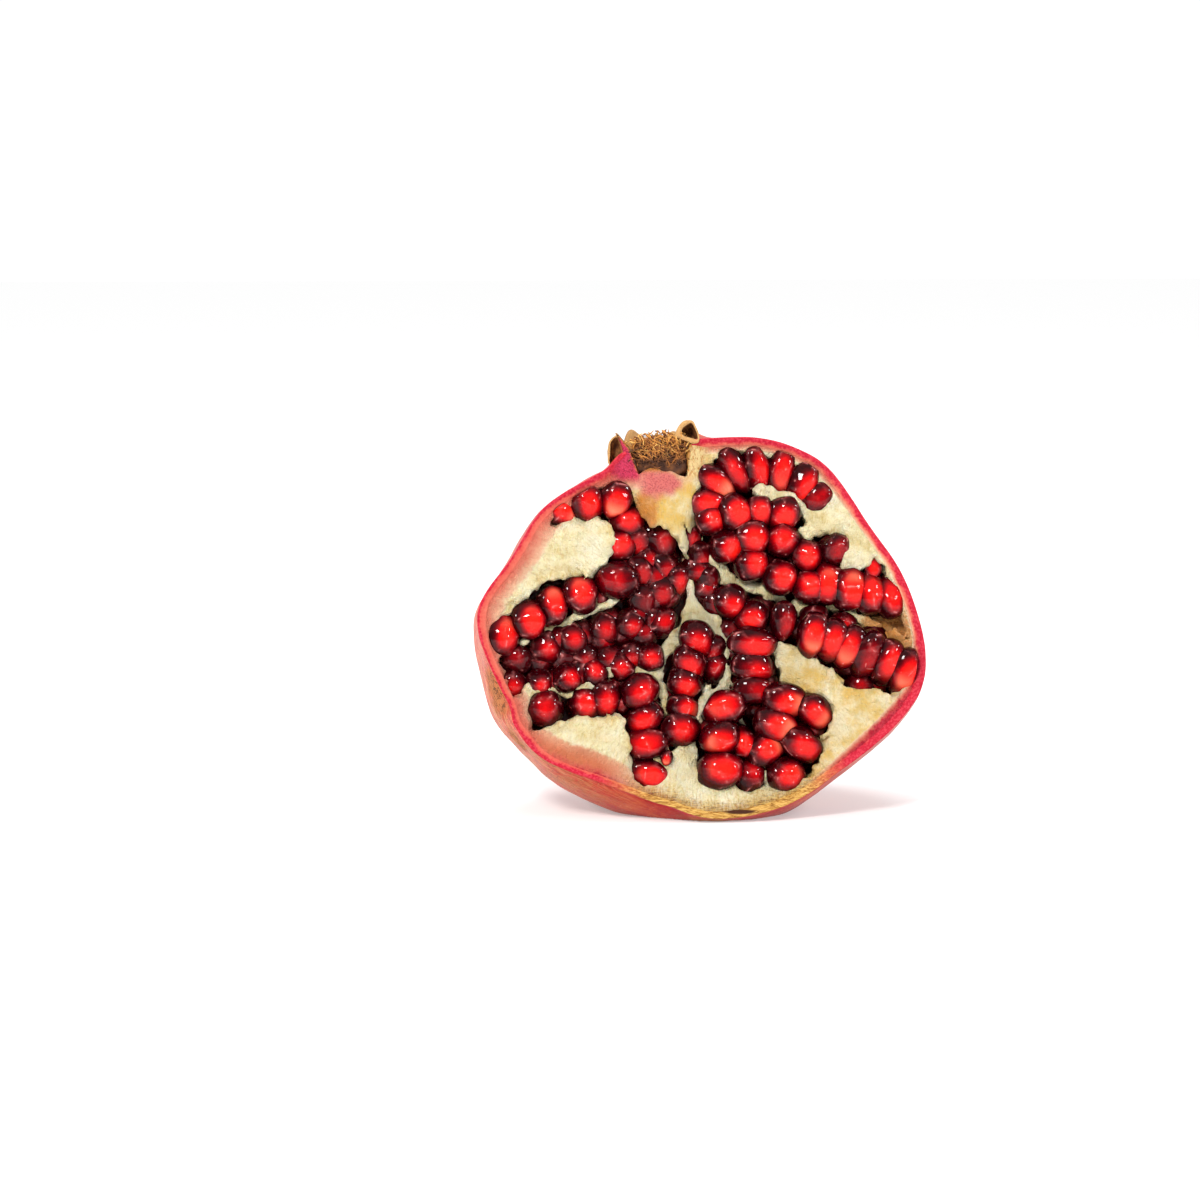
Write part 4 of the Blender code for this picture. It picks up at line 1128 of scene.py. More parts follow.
def without_hidden(face, quads):
    """Leaves out the side of the pith that lies against the skin, where nothing sees it."""
    angle = np.arctan2(face[:, 1], face[:, 0])
    reach = skin_radius(angle, np.minimum(face[:, 2], GIRTH_DEPTH))
    against = (reach - np.hypot(face[:, 0], face[:, 1]) < 1.75) & (face[:, 2] > 2.5)
    kept, quads = np.unique(quads[~against[quads].all(1)], return_inverse=True)
    return face[kept], quads.reshape(-1, 4)


def make_pith():
    face, quads = without_hidden(*surface_nets(pith_field(), pith_axes))
    inwards, angle = edge_distance(face)
    hollow = smooth_step(0.9 - read_map(chamber_map, face[:, 0], face[:, 1]), 0, 0.9)
    values = {
        "hollow": hollow * smooth_step(face[:, 2], 1.5, 4), **rim_masks(inwards, angle),
        "crown_near": np.hypot(face[:, 0] - CROWN_U, face[:, 1] - CROWN_FLOOR_W),
        "inwards": inwards, "dried": dried_share(angle), **crown_masks(face),
    }
    polar = np.stack([angle * 35, np.hypot(face[:, 0], face[:, 1]), face[:, 2]], 1)
    vectors = {"polar": polar}
    piece("pith_torn", face, quads, pith_finish(), ["pith"], values, vectors)


make_pith()


# %% [markdown]
# ## The shape of one aril
# An aril is a drop of juice round a seed. Grown tightly against its neighbours, it has soft flat
# sides like a gem, a blunt tip and a narrow root. Planes set round a ball, blended with a high
# power, give exactly that: the higher the power, the crisper the edges between the flats.
# %% Aril shape
GEM_POWER = 11
GEM_ROUND = 1.13


def ball(subdivisions):
    """The directions and triangles of an even ball."""
    bm = bmesh.new()
    bmesh.ops.create_icosphere(bm, subdivisions=subdivisions, radius=1)
    directions = np.array([v.co for v in bm.verts])
    triangles = np.array([[v.index for v in f.verts] for f in bm.faces])
    bm.free()
    return directions, triangles


def gem_planes(draw):
    """Planes round one aril, as outward directions and distances. The root is at -z."""
    planes = []

    def ring_of(count, rise_range, reach_range):
        first = draw.uniform(0, 2 * math.pi)
        for k in range(count):
            turn = first + 2 * math.pi * (k + draw.uniform(-0.2, 0.2)) / count
            rise = math.radians(draw.uniform(*rise_range))
            across = math.cos(rise)
            way = (across * math.cos(turn), across * math.sin(turn), math.sin(rise))
            planes.append((way, draw.uniform(*reach_range)))

    ring_of(draw.choice((5, 6, 6)), (-15, -4), (0.96, 1.08))
    ring_of(4, (34, 52), (0.96, 1.08))
    ring_of(4, (-62, -48), (0.80, 0.92))
    planes.append(((0, 0, 1), draw.uniform(0.92, 1.0)))
    planes.append(((0, 0, -1), 1.0))
    ways, reaches = zip(*planes)
    return np.array(ways), np.array(reaches)


def gem(draw, directions):
    """The points of one aril of half-length and half-width 1, and how near an edge each is."""
    ways, reaches = gem_planes(draw)
    pressure = np.maximum(directions @ ways.T / reaches, 0)
    rounded = np.full((len(directions), 1), 1 / GEM_ROUND)
    total = (np.concatenate([pressure, rounded], 1) ** GEM_POWER).sum(1)
    two_flats = np.sort(pressure, 1)[:, -2:]
    edge = smooth_step(two_flats[:, 0] / two_flats[:, 1], 0.90, 1.0)
    return directions * (total ** (-1 / GEM_POWER))[:, None], edge


# %% [markdown]
# ## Where the arils grow
# Arils sit in rows along the pith and the membranes. Each row says where it starts and ends on
# the face, how it bows, and how the arils turn along it. A seeded draw adds disorder, and it is
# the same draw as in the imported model, so each fine aril stands where its plain one does. Two
# rows near the crown are drawn too, but their arils are then set one by one, further down.
# %% Rows of arils
ARIL_ROWS = [
    # chamber, start, end, bow, count, headings, rise, depth, (length, width)
    ("left", (-33.2, 29.9), (-21.0, 32.2), 0.6, 4, (120, 75), 25, 5.0, (9.0, 6.6)),
    ("left", (-18.5, 27.0), (-20.5, 21.0), 0.0, 2, (5, 20), 35, 6.0, (9.5, 7.2)),
    ("left", (-49.0, 0.5), (-30.0, 10.0), 0.5, 4, (-95, -65), 20, 5.0, (11.0, 7.8)),
    ("left", (-21.0, 13.0), (-21.0, 13.0), 0.0, 1, (-10, -10), 15, 4.6, (11.5, 8.4)),
    ("left", (-9.5, 22.5), (-9.5, 10.0), 0.6, 3, (90, 90), 65, 8.4, (10.0, 7.6)),
    ("left", (-15.5, 22.5), (-14.2, 7.5), 0.0, 3, (100, 80), 60, 8.6, (10.0, 7.4)),
    ("left", (-5.5, 13.0), (-5.5, 13.0), 0.0, 1, (90, 90), 40, 7.6, (9.0, 6.2)),
    ("left", (-45.5, -6.0), (-10.0, 2.5), 1.2, 6, (170, 20), 72, 8.2, (10.0, 7.4)),
    ("left", (-47.0, -12.5), (-13.3, -6.0), -1.2, 6, (200, 340), 72, 8.0, (10.0, 7.0)),
    ("lower_left", (-39.0, -19.0), (-39.0, -19.0), 0.0, 1, (95, 95), 30, 6.0, (9.8, 8.2)),
    ("lower_left", (-29.0, -18.0), (-23.5, -16.5), 0.0, 2, (100, 80), 35, 6.0, (9.2, 7.0)),
    ("lower_left", (-15.5, -15.0), (-14.0, -34.5), 0.6, 4, (45, -10), 25, 5.2, (10.5, 7.8)),
    ("centre", (-0.5, -2.0), (-5.5, -24.0), -0.8, 5, (130, 170), 42, 6.4, (9.5, 7.4)),
    ("centre", (3.0, -4.5), (3.2, -9.5), 0.0, 2, (70, 60), 55, 8.4, (9.0, 6.4)),
    ("bottom", (4.8, -19.0), (3.8, -34.0), 0.0, 3, (15, -10), 22, 3.8, (10.6, 8.0)),
    ("bottom", (9.4, -27.5), (11.0, -35.6), 0.0, 2, (-50, -65), 35, 5.0, (9.0, 6.8)),
    ("right", (-2.4, 22.5), (2.0, 12.5), 0.4, 3, (105, 95), 42, 7.6, (9.6, 5.8)),
    ("right", (7.5, 7.0), (12.2, 3.4), 0.0, 2, (150, 30), 50, 6.8, (9.6, 7.4)),
    ("right", (12.8, -2.6), (13.2, -14.8), 0.0, 3, (180, 175), 18, 4.8, (11.8, 7.4)),
    ("right", (20.5, -17.4), (27.6, -20.4), 0.0, 2, (170, 150), 20, 3.8, (11.0, 7.6)),
    ("right", (17.6, -23.6), (24.2, -28.2), 0.0, 2, (170, 160), 22, 3.4, (11.6, 8.2)),
    ("right", (15.6, -29.4), (20.4, -35.6), 0.0, 2, (200, 215), 30, 4.2, (10.0, 7.6)),
    ("right", (20.4, 2.0), (20.4, 2.0), 0.0, 1, (90, 90), 20, 4.6, (11.0, 6.4)),
    ("right", (27.4, -1.4), (50.0, -11.0), 0.6, 6, (76, 60), 20, 3.8, (11.8, 7.4)),
    ("right", (27.6, 2.6), (42.0, -3.2), 0.4, 3, (60, 40), 45, 7.2, (9.4, 7.0)),
    ("upper_right", (3.6, 33.6), (28.0, 34.2), 6.4, 5, (180, 42), 18, 4.0, (11.8, 8.0)),
    ("upper_right", (3.2, 27.4), (20.8, 28.4), 1.4, 4, (165, 60), 55, 4.4, (10.0, 7.6)),
    ("upper_right", (6.4, 20.8), (20.4, 22.2), 1.6, 3, (200, 60), 72, 4.8, (10.4, 8.0)),
    ("upper_right", (12.8, 17.0), (26.6, 10.6), -0.4, 3, (250, 290), 72, 5.2, (10.4, 8.0)),
    ("upper_right", (26.6, 18.6), (33.0, 20.0), 0.0, 2, (120, 60), 55, 4.4, (9.8, 7.2)),
    ("upper_right", (32.0, 12.4), (47.0, 8.4), -0.6, 4, (-100, -80), 18, 4.6, (11.2, 7.6)),
    ("upper_right", (43.0, 15.6), (43.0, 15.6), 0.0, 1, (-90, -90), 20, 4.4, (6.0, 4.2)),
]
ARIL_JITTER, HEADING_JITTER, RISE_JITTER, SIZE_JITTER = 0.35, 8, 5, 0.05
ARIL_SEED = 11


def row_of_arils(row, draw):
    """Middles, headings and sizes of the arils in one row, with a little seeded disorder."""
    _, start, end, bow, count, headings, rise, depth, size = row
    start, end = Vector(start), Vector(end)
    across = Vector((start.y - end.y, end.x - start.x))
    across = across.normalized() if across.length > 0 else across
    for i in range(count):
        t = i / (count - 1) if count > 1 else 0.5
        place = start.lerp(end, t) + across * bow * 4 * t * (1 - t) * (count > 1)
        jitter = [draw.uniform(-1, 1) for _ in range(6)]
        middle = Vector((
            place.x + ARIL_JITTER * jitter[0],
            place.y + ARIL_JITTER * jitter[1],
            depth + ARIL_JITTER * jitter[2],
        ))
        heading = headings[0] + (headings[1] - headings[0]) * t + HEADING_JITTER * jitter[3]
        length, width = (s * (1 + SIZE_JITTER * jitter[4]) for s in size)
        rises = rise + RISE_JITTER * jitter[5]
        yield middle, heading, rises, length, width, draw.uniform(0, math.pi)


def aril_frame(heading_deg, rise_deg):
    """The aril's axis from root to tip and two directions across it, as u, w, v."""
    heading, rise = math.radians(heading_deg), math.radians(rise_deg)
    axis = Vector((
        math.cos(heading) * math.cos(rise), math.sin(heading) * math.cos(rise), -math.sin(rise)
    ))
    side = axis.cross(Vector((0, 0, 1)))
    side = side.normalized() if side.length > 0.01 else Vector((1, 0, 0))
    return axis, side, axis.cross(side)


# %% [markdown]
# ## Finish of the arils
# An aril is a clear red gel round a pale seed. Its light and shade are painted into its colour.
# Where it faces the open cut, light would come in and reach the seed, so that part is painted a
# glowing scarlet, with the seed's pale heart near the root shown where that painted light falls.
# The sides, pressed together, are painted almost black as shade, deeper arils are painted darker,
# and a few edges carry a painted pale glint line. How each point faces the cut, how near the
# painted bright core and how near an edge it is are worked out with the mesh, and a wet clear
# coat over them carries the lamps' highlights.
# %% Aril finish
def aril_finish():
    juice = Finish(
        "aril_gel", roughness=0.3, ior=1.38, specular_ior_level=0.0, coat_weight=1.0,
        coat_roughness=0.03, coat_ior=1.3, subsurface_weight=0.2, subsurface_scale=0.001,
        subsurface_radius=(1.0, 0.10, 0.08),
    )
    place = juice.attribute("face", "Vector")
    core, edge = juice.attribute("core"), juice.attribute("edge")
    along, tone = juice.attribute("along"), juice.attribute("tone")
    open_side, sunk = juice.attribute("open_side"), juice.attribute("sunk")
    cloud = juice.noise(place, 2.4, 3.0)

    # Painted light and shade: the core glows where the aril faces the cut, deeper arils are painted
    # darker, and the ramp paints the sides near black.
    glow = core * (0.76 + 0.36 * tone) * (0.55 + 0.45 * tone.between(0.0, 0.20))
    glow = (glow + (cloud - 0.5) * 0.45) * open_side.between(-0.15, 0.65) * (1 - sunk * 0.63)
    colour = juice.ramp(glow, [
        (0.0, (0.020, 0.0002, 0.0012)), (0.18, (0.080, 0.0005, 0.0026)),
        (0.40, (0.28, 0.0013, 0.0040)), (0.64, (0.64, 0.0035, 0.0050)),
        (0.92, (0.98, 0.0140, 0.0080)),
    ])
    # The seed's own pale colour at the root end, shown only where the painted light reaches it.
    seed_end = along.between(0.02, 0.18) * (1 - along.between(0.30, 0.60))
    heart = seed_end * core.between(0.25, 0.85) * open_side.between(0.3, 0.8) * (1 - sunk)
    # Painted glints: pale lines on some facet edges and ridges.
    bright_edge = edge * open_side.between(0.2, 0.7) * along.between(0.5, 0.8)
    ridge_glint = edge.between(0.55, 0.95) * open_side.between(0.15, 0.5) * cloud.between(0.50, 0.60)
    colour = juice.over(colour, [
        (heart * (tone.between(0.3, 0.9) * 0.62), (0.94, 0.32, 0.17)),
        (bright_edge * cloud.between(0.4, 0.6) * 0.35, (0.52, 0.14, 0.14)),
        (ridge_glint * 0.45, (0.72, 0.26, 0.24)),
    ])
    ripples = juice.noise(place, 1.5, 2.0, 0.5, 0.4)
    return juice.use(base_color=colour, normal=juice.bump(ripples, 0.5, 0.0006))


ARIL_FINISH = aril_finish()


# %% [markdown]
# ## The arils of each chamber
# The rows come first. Behind them, a second layer of arils fills each chamber, so that no
# gap shows an empty wall, but for the bare place at the right that has lost its arils. Lying deep,
# they are painted darker by their finish, as shade. All arils of a chamber are joined, since they
# ride and are handled as one cluster.
# %% Clusters of arils
ARIL_PLUMPNESS = 1.15
BACK_LAYER_PITCH = 5.7
BACK_LAYER_V = 9.4
BACK_LAYER_SIZE = (8.8, 6.8)
BARE_FROM_U, BARE_LOW_W, BARE_HIGH_W = 41, -8, 5
FINE_BALL, PLAIN_BALL = ball(4), ball(3)
RESET_ROWS = {
    # start of the row: middle, heading, rise, length, width and turn of each aril, given one by one
    (-33.2, 29.9): [
        ((-33.8, 29.6, 5.0), 150, 30, 8.4, 6.6, 0.3), ((-27.8, 31.6, 4.4), 100, 25, 9.4, 7.6, 1.0),
        ((-20.8, 32.6, 4.2), 70, 20, 10.0, 8.4, 0.5),
    ],
    (3.6, 33.6): [
        ((2.4, 31.8, 4.4), 175, 22, 10.6, 7.0, 0.2), ((4.6, 36.8, 4.2), 148, 20, 11.6, 6.6, 0.9),
        ((9.2, 39.4, 4.2), 122, 18, 12.4, 6.4, 0.4), ((14.6, 39.8, 4.0), 102, 18, 12.4, 6.6, 1.3),
        ((20.2, 38.8, 4.0), 82, 18, 11.8, 6.8, 0.7), ((25.4, 36.2, 4.2), 62, 20, 11.4, 7.2, 0.1),
        ((28.6, 32.2, 4.6), 40, 24, 10.0, 6.8, 1.1),
    ],
}


def aril_points(values, draw, directions):
    """Face places of one aril, with the numbers that its finish reads."""
    middle, heading, rise, length, width, turn = values
    axis, side, other = (np.array(a) for a in aril_frame(heading, rise))
    long = length / 2 * ARIL_PLUMPNESS * draw.uniform(0.95, 1.08)
    wide = width / 2 * ARIL_PLUMPNESS * draw.uniform(0.90, 1.06)
    local, edge = gem(draw, directions)
    cos, sin = math.cos(turn), math.sin(turn)
    x, y = local[:, 0] * cos - local[:, 1] * sin, local[:, 0] * sin + local[:, 1] * cos
    z = local[:, 2]
    face = (
        np.array(middle) + np.outer(x * wide, side)
        + np.outer(y * wide, other) + np.outer(z * long, axis)
    )
    # The painted bright core, the light as seen through the open cut: it lies a little low, and the
    # rim is painted dark, as shade.
    flat = axis[:2] / max(np.linalg.norm(axis[:2]), 1e-6)
    across = np.array([-flat[1], flat[0]])
    seen_long = math.hypot(long * math.cos(math.radians(rise)), wide * math.sin(math.radians(rise)))
    low_spot = np.array([0.08 + draw.uniform(-0.2, 0.2), -0.14 + draw.uniform(-0.2, 0.2)])
    away = face[:, :2] - np.array(middle)[:2] - low_spot * wide
    from_middle = np.hypot(away @ flat / seen_long, away @ across / wide)
    sunk = float(smooth_step(middle[2], 4.6, 10.5))
    return held_inside(face), {
        "along": (z + 1) / 2,
        "edge": edge,
        "core": 1 - smooth_step(from_middle, 0.12, 1.0 - 0.26 * sunk),
        "tone": np.full(len(z), draw.random()),
        "sunk": np.full(len(z), sunk),
    }


def held_inside(face):
    """Presses arils flat where they would go through the rind."""
    angle = np.arctan2(face[:, 1], face[:, 0])
    reach = skin_radius(angle, np.clip(face[:, 2], 0, GIRTH_DEPTH)) - RIND_THICKNESS
    share = np.minimum(1, reach / np.hypot(face[:, 0], face[:, 1]))
    return face * np.stack([share, share, np.ones_like(share)], 1)


def outward_share(face, triangles):
    """How squarely each point faces the open cut, from -1 to 1."""
    a, b, c = (face[triangles[:, k]] for k in range(3))
    normals = np.cross(b - a, c - a)
    summed = np.zeros_like(face)
    for k in range(3):
        np.add.at(summed, triangles[:, k], normals)
    summed /= np.linalg.norm(summed, axis=1)[:, None] + 1e-12
    centre = face.mean(0)
    facing = np.sign(((face - centre) * summed).sum())
    return -summed[:, 2] * facing


def back_layer(outline, draw):
    """Arils behind the rows, on a jittered triangular pattern inside the outline."""
    points = np.array(outline)
    low, high = points.min(0), points.max(0)
    rows = np.arange(low[1], high[1], BACK_LAYER_PITCH * 0.87)
    for number, w in enumerate(rows):
        for u in np.arange(low[0] + (number % 2) * BACK_LAYER_PITCH / 2, high[0], BACK_LAYER_PITCH):
            at_u, at_w = u + draw.uniform(-1, 1), w + draw.uniform(-1, 1)
            inside = outline_distance(outline, np.array([at_u]), np.array([at_w]))[0]
            in_bare_place = at_u > BARE_FROM_U and BARE_LOW_W < at_w < BARE_HIGH_W
            if inside < -1.2 and not in_bare_place:
                depth = BACK_LAYER_V + draw.uniform(-1.0, 0.8)
                heading, rise = draw.uniform(0, 360), draw.uniform(55, 85)
                turn = draw.uniform(0, math.pi)
                yield (at_u, at_w, depth), heading, rise, *BACK_LAYER_SIZE, turn


EXTRA_ARILS = {"centre": [((-9.3, -31.4, 2.3), 80, 20, 3.8, 2.9, 0.4)]}  # a small shrunken one


def make_clusters():
    place_draw, shape_draw = random.Random(ARIL_SEED), random.Random(ARIL_SEED + 1)
    arils = {name: [] for name in CHAMBERS}
    for row in ARIL_ROWS:
        drawn = list(row_of_arils(row, place_draw))
        arils[row[0]] += [(values, FINE_BALL) for values in RESET_ROWS.get(row[1], drawn)]
    for name, outline in CHAMBERS.items():
        arils[name] += [(values, PLAIN_BALL) for values in back_layer(outline, shape_draw)]
        arils[name] += [(values, PLAIN_BALL) for values in EXTRA_ARILS.get(name, [])]
        faces, triangles, numbers, start = [], [], {}, 0
        for values, (directions, ball_triangles) in arils[name]:
            face, extra = aril_points(values, shape_draw, directions)
            extra["open_side"] = outward_share(face, ball_triangles)
            faces.append(face)
            triangles.append(ball_triangles + start)
            start += len(face)
            for key, value in extra.items():
                numbers.setdefault(key, []).append(value)
        numbers = {key: np.concatenate(value) for key, value in numbers.items()}
        piece(
            f"arils_of_{name}", np.concatenate(faces), np.concatenate(triangles),
            ARIL_FINISH, [f"arils_{name}"], numbers,
        )
        print(name, len(arils[name]), "arils")


make_clusters()


# %% [markdown]
# ## The crown
# The crown is the dried cup of the flower, brown inside. Its wall is a grid of points round the
# crown's axis, made double so that it has a thickness. The cut opens it, and what shows between
# its two sides there, magenta on the left and tan on the right, is flesh that belongs to the pith.
# %% Crown finish
def crown_finish():
    crown = Finish("crown_dried", ior=1.4)
    _, w, _ = crown.face_place()
    place = crown.attribute("face", "Vector")
    grain = crown.noise(crown.stretched(place, (1.6, 0.4, 1.6)), 0.8, 4.0, 0.65)
    blotch = crown.noise(place, 3.0, 3.0)

    outside = crown.ramp((w + (blotch - 0.5) * 4).between(41.5, 47.5), [
        (0.0, (0.50, 0.07, 0.035)), (0.4, (0.54, 0.17, 0.05)), (1.0, (0.30, 0.13, 0.04)),
    ])
    inside = crown.ramp((w + (blotch - 0.5) * 3).between(40, 48.5), [
        (0.0, (0.20, 0.055, 0.012)), (0.5, (0.28, 0.09, 0.02)), (1.0, (0.36, 0.19, 0.06)),
    ])
    colour = crown.mix(crown.attribute("inner"), outside, inside)
    colour = crown.mix(grain.between(0.52, 0.72) * 0.5, colour, (0.10, 0.035, 0.010))
    return crown.use(
        base_color=colour,
        roughness=0.6 + grain * 0.2,
        normal=crown.bump(grain + blotch * 0.6, 0.6, 0.0005),
    )


# %% Crown wall
CROWN_BOTTOM_W, CROWN_RIM_W = 37.5, 46.6
WALL_PAST_FLESH = 0.15
CROWN_START_V = 1.1
CROWN_COLUMNS = 120
CROWN_STEPS = 34
SEPALS = 6
SEPAL_HEIGHTS = [0.8, 4.3, 4.5, 2.6, 0.0, 0.0]
SEPAL_CURL = 0.5


def crown_sheet(radius, w, lift):
    """One ring of the wall from cut to cut, lifted into sepals."""
    start = math.asin((CROWN_START_V - CROWN_V) / radius)
    turn = np.linspace(start, math.pi - start, CROWN_COLUMNS)
    place = turn / (2 * math.pi) * SEPALS
    nearest = np.round(place)
    heights = np.array(SEPAL_HEIGHTS)[nearest.astype(int) % SEPALS]
    petal = np.clip(1 - (np.abs(place - nearest) * 2.15) ** 1.5, 0, 1)
    # On the right the skin stands higher, so the wall rises to meet it.
    meets_skin = 2.3 * smooth_step(turn, 0.12, 0.35) + 1.8 * smooth_step(turn, 0.4, 0.7)
    meets_skin = meets_skin * (1 - smooth_step(turn, 0.95, 1.4))
    tall = lift * np.maximum(heights * petal, meets_skin)
    ragged = np.stack([turn * 9, np.full_like(turn, w), turn * 0], 1)
    out = radius + SEPAL_CURL * tall * lift / 3 + 0.16 * rough_noise(ragged, 1.6, 21)
    up_by = tall + lift * 0.35 * rough_noise(ragged, 1.1, 22)
    middle = crown_middle(w + up_by)
    v = np.maximum(CROWN_V + out * np.sin(turn), CROWN_START_V)
    return np.stack([middle + out * np.cos(turn), w + up_by, v], 1)


def make_crown():
    outer, inner = [], []
    for share in np.linspace(0, 1, CROWN_STEPS):
        w = CROWN_BOTTOM_W + share * (CROWN_RIM_W - CROWN_BOTTOM_W)
        lift = max(0.0, (share - 0.62) / 0.38) ** 1.3
        outer.append(crown_sheet(np.interp(w, *CROWN_WALL["outer"]) + WALL_PAST_FLESH, w, lift))
        lining = np.interp(w, *CROWN_WALL["inner"]) - WALL_PAST_FLESH
        inner.append(crown_sheet(lining + lift * 1.1, w, lift * 0.97))
    floor = [crown_sheet(radius, CROWN_BOTTOM_W + 1.6, 0) for radius in (4.0, 2.4)]
    rows = outer + inner[::-1] + floor
    quads = grid_quads(len(rows), CROWN_COLUMNS, closed=False)
    is_inner = np.repeat([0.0] * CROWN_STEPS + [1.0] * (CROWN_STEPS + 2), CROWN_COLUMNS)
    face = np.concatenate(rows)
    piece("crown", face, quads, crown_finish(), (), {"inner": is_inner})


make_crown()


# %% [markdown]
# ## The two sepals at the cut
# On either side of the cup, a dry sepal curls outwards, and one looks into the hollow of its
# curl. Each is a thin sheet: a profile on the face, swept back into the fruit while it
# shrinks, so that its inside shows from the front.
# %% Curled sepals
def sepal_finish():
    sepal = Finish("sepal_dry", roughness=0.7, ior=1.4)
    place = sepal.attribute("face", "Vector")
    grain = sepal.noise(sepal.stretched(place, (1.0, 0.5, 1.0)), 0.6, 4.0, 0.65)
    outside = sepal.mix(grain.between(0.35, 0.65), (0.28, 0.10, 0.03), (0.58, 0.34, 0.12))
    inside = sepal.mix(grain.between(0.35, 0.65), (0.085, 0.024, 0.006), (0.25, 0.10, 0.022))
    colour = sepal.mix(sepal.attribute("inner"), outside, inside)
    lip = 1 - sepal.attribute("edge").between(0.03, 0.14)
    colour = sepal.mix(lip, colour, sepal.mix(grain, (0.36, 0.16, 0.05), (0.66, 0.40, 0.15)))
    return sepal.use(base_color=colour, normal=sepal.bump(grain, 0.7, 0.0005))


SEPAL_FINISH = sepal_finish()
SEPAL_DEPTHS = 16
LEFT_CURL = [
    (-19.8, 48.6), (-21.0, 48.3), (-22.2, 47.0), (-22.8, 44.6), (-22.6, 42.2),
    (-21.6, 40.2), (-19.6, 41.2), (-18.6, 42.8), (-18.2, 44.9), (-18.9, 47.0),
]
LEFT_HOLLOW = [
    (-19.9, 48.0), (-20.9, 47.9), (-21.8, 46.8), (-22.3, 44.6), (-22.2, 42.4),
    (-21.4, 40.8), (-19.8, 41.6), (-18.9, 42.9), (-18.5, 44.9), (-19.1, 46.8),
]
RIGHT_CURL = [
    (-6.0, 48.3), (-5.3, 50.4), (-3.6, 51.9), (-1.8, 51.7), (-0.6, 49.8),
    (-0.1, 46.8), (-1.6, 46.2), (-3.4, 46.8), (-5.0, 47.5),
]
RIGHT_HOLLOW = [
    (-4.5, 48.8), (-4.2, 49.9), (-3.0, 50.9), (-1.9, 51.2), (-0.9, 49.6),
    (-0.5, 47.3), (-1.6, 47.3), (-2.9, 47.8), (-3.9, 48.2),
]


def make_sepal(name, outline, hollow, start_v, reach):
    """A hollow curl whose outline closes on the middle of its hollow further in."""
    outer, inner = closed_spline(outline, 8), closed_spline(hollow, 8)
    heart, count = inner.mean(0), len(outer)
    rows_out, rows_in = [], []
    for step in np.linspace(0, 1, SEPAL_DEPTHS):
        shrink = math.sqrt(1 - 0.9999 * step**2)
        for line, rows, behind in ((outer, rows_out, 0.0), (inner, rows_in, -0.3 * step)):
            ring = heart + (line - heart) * shrink
            wobble = np.stack([ring[:, 0], ring[:, 1], np.full(count, step * reach)], 1)
            ring = ring + 0.22 * rough_noise(wobble, 1.5, 31)[:, None] * (1 - step)
            v = start_v + reach * step + 0.35 * rough_noise(wobble, 1.2, 32) * (1 - step)
            rows.append(np.column_stack([ring, v + behind]))
    face = np.concatenate(rows_in[::-1] + rows_out)
    quads = grid_quads(2 * SEPAL_DEPTHS, count)
    steps = np.linspace(0, 1, SEPAL_DEPTHS)
    is_inner = [1.0] * (SEPAL_DEPTHS - 1) + [0.5] + [0.0] * SEPAL_DEPTHS
    from_lip = np.concatenate([steps[::-1], steps])
    values = {"inner": np.repeat(is_inner, count), "edge": np.repeat(from_lip, count)}
    piece(name, face, quads, SEPAL_FINISH, (), values)


make_sepal("sepal_left", LEFT_CURL, LEFT_HOLLOW, 1.5, 3.4)
make_sepal("sepal_right", RIGHT_CURL, RIGHT_HOLLOW, 0.0, 5.0)


# %% [markdown]
# ## The stamens
# The cup is full of dry, tangled filaments, golden at the tips and dark below. Each one is a thin
# tube along a short wandering path. They stand in a dark mat of lumps, which closes the cup.
# %% Stamen finish
def stamen_finish():
    stamen = Finish("stamen_dry", roughness=0.85)
    along, tone = stamen.attribute("along"), stamen.attribute("tone")
    place = stamen.attribute("face", "Vector")
    patches = stamen.noise(place, 2.5, 3.0).between(0.35, 0.65)
    low = stamen.mix(patches * tone, (0.045, 0.012, 0.003), (0.50, 0.16, 0.022))
    high = stamen.ramp(tone, [
        (0.0, (0.08, 0.022, 0.004)), (0.35, (0.26, 0.08, 0.010)), (0.75, (0.50, 0.20, 0.030)),
        (1.0, (0.74, 0.42, 0.11)),
    ])
    return stamen.use(base_color=stamen.mix(along.between(0.15, 0.65), low, high))


# %% Stamens
STAMENS = 520
STAMEN_JOINTS = 8
STAMEN_SIDES = 4
STAMEN_RADIUS = 0.18
STAMEN_TOP_W = 50.0
STAMEN_REACH = 6.8
STAMEN_LENGTHS = (3.0, 7.0)
MAT_REACH = (7.0, 3.6, 6.0)
STAMEN_SEED = 5


def wandering_path(draw):
    """A short crooked path that starts in the cup and climbs."""
    turn, out = draw.uniform(0, 2 * math.pi), STAMEN_REACH * math.sqrt(draw.random())
    w = CROWN_FLOOR_W + draw.uniform(0.2, 6.0)
    place = np.array([crown_middle(w) + out * math.cos(turn), w, CROWN_V + out * math.sin(turn)])
    place[2] = max(place[2], CROWN_CUT_V + draw.uniform(0.0, 1.2))
    way = np.array([draw.uniform(-0.6, 0.6), 1.0, draw.uniform(-0.7, 0.3)])
    path = [place]
    length = draw.uniform(*STAMEN_LENGTHS) / STAMEN_JOINTS
    for _ in range(STAMEN_JOINTS):
        way = way + np.array([draw.gauss(0, 0.42), draw.gauss(-0.03, 0.3), draw.gauss(0, 0.42)])
        way /= np.linalg.norm(way)
        place = place + way * length
        middle = crown_middle(place[1])
        place[0] = np.clip(place[0], middle - 8.2, middle + 7.4)
        place[1] = min(place[1], STAMEN_TOP_W - 0.9 * abs(place[0] - middle - 1.5) ** 1.5 / 8)
        place[2] = np.clip(place[2], CROWN_CUT_V - 0.1, CROWN_V + 8.0)
        path.append(place)
    return np.array(path)


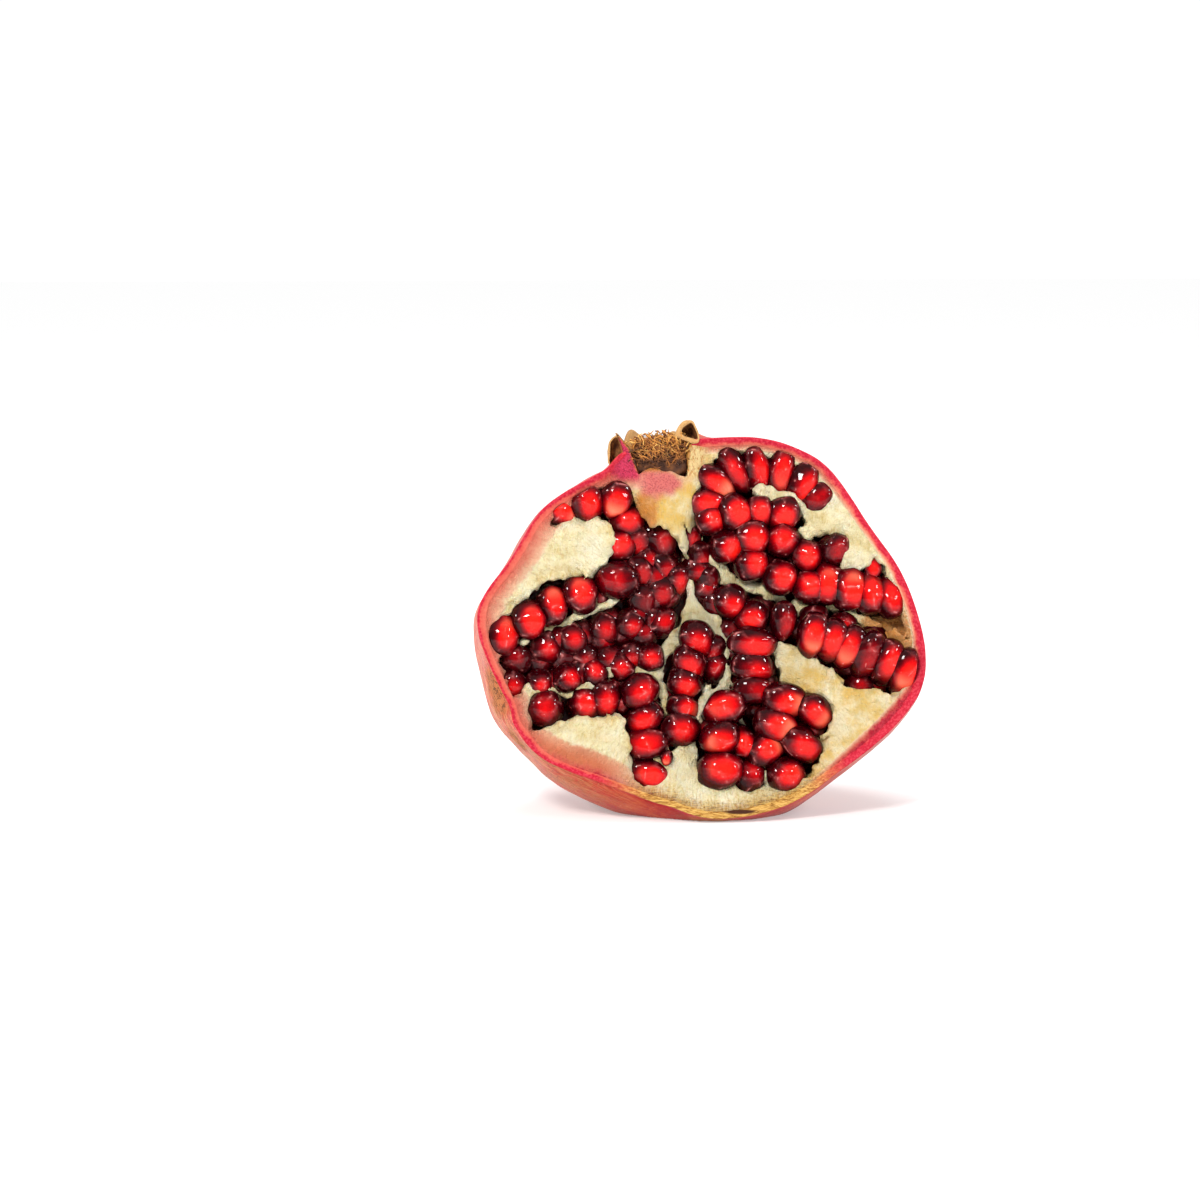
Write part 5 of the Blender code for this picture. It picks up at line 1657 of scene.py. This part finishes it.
def tube(path, radius, sides):
    """Rings of points round a path, and their quads."""
    ahead = np.gradient(path, axis=0)
    ahead /= np.linalg.norm(ahead, axis=1)[:, None] + 1e-9
    side = np.cross(ahead, [0.3, 0.1, 1.0])
    side /= np.linalg.norm(side, axis=1)[:, None] + 1e-9
    other = np.cross(ahead, side)
    turns = (2 * math.pi * np.arange(sides) / sides)[None, :, None]
    around = np.cos(turns) * side[:, None] + np.sin(turns) * other[:, None]
    rings = path[:, None] + radius[:, None, None] * around
    return rings.reshape(-1, 3), grid_quads(len(path), sides)


def make_stamens():
    draw = random.Random(STAMEN_SEED)
    faces, quads, along, tone, start = [], [], [], [], 0
    for _ in range(STAMENS):
        path = wandering_path(draw)
        radius = STAMEN_RADIUS * np.linspace(1.0, 0.6, len(path))
        radius[-2:] *= draw.choice((1.0, 1.0, 2.4))
        radius[-1] *= 0.4
        points, ring_quads = tube(path, radius, STAMEN_SIDES)
        faces.append(points)
        quads.append(ring_quads + start)
        start += len(points)
        height = (path[:, 1] - CROWN_FLOOR_W) / (STAMEN_TOP_W - CROWN_FLOOR_W)
        along.append(np.repeat(height, STAMEN_SIDES))
        tone.append(np.full(len(points), draw.random()))
    # The dark mat at the foot of the filaments.
    directions, triangles = ball(3)
    mat = directions * np.array(MAT_REACH)
    mat[:, 1] += CROWN_FLOOR_W + 1.0
    mat[:, 0] += crown_middle(mat[:, 1])
    mat[:, 2] = np.maximum(mat[:, 2] + CROWN_V + 1.5, CROWN_CUT_V + 0.6)
    mat += 0.5 * rough_noise(mat, 1.5, 41)[:, None]
    faces.append(mat)
    along.append(np.clip((mat[:, 1] - CROWN_FLOOR_W) / 12, 0, 1))
    tone.append(np.full(len(mat), 0.2))
    all_quads = np.concatenate(quads).tolist() + (triangles + start).tolist()
    values = {"along": np.concatenate(along), "tone": np.concatenate(tone)}
    face = np.concatenate(faces)
    piece("stamens_dry", face, all_quads, stamen_finish(), ["stamens"], values)


make_stamens()


def corners(box):
    return [list(corner) for corner in box]


{"cad": corners(cad_box), "visual": corners(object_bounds())}
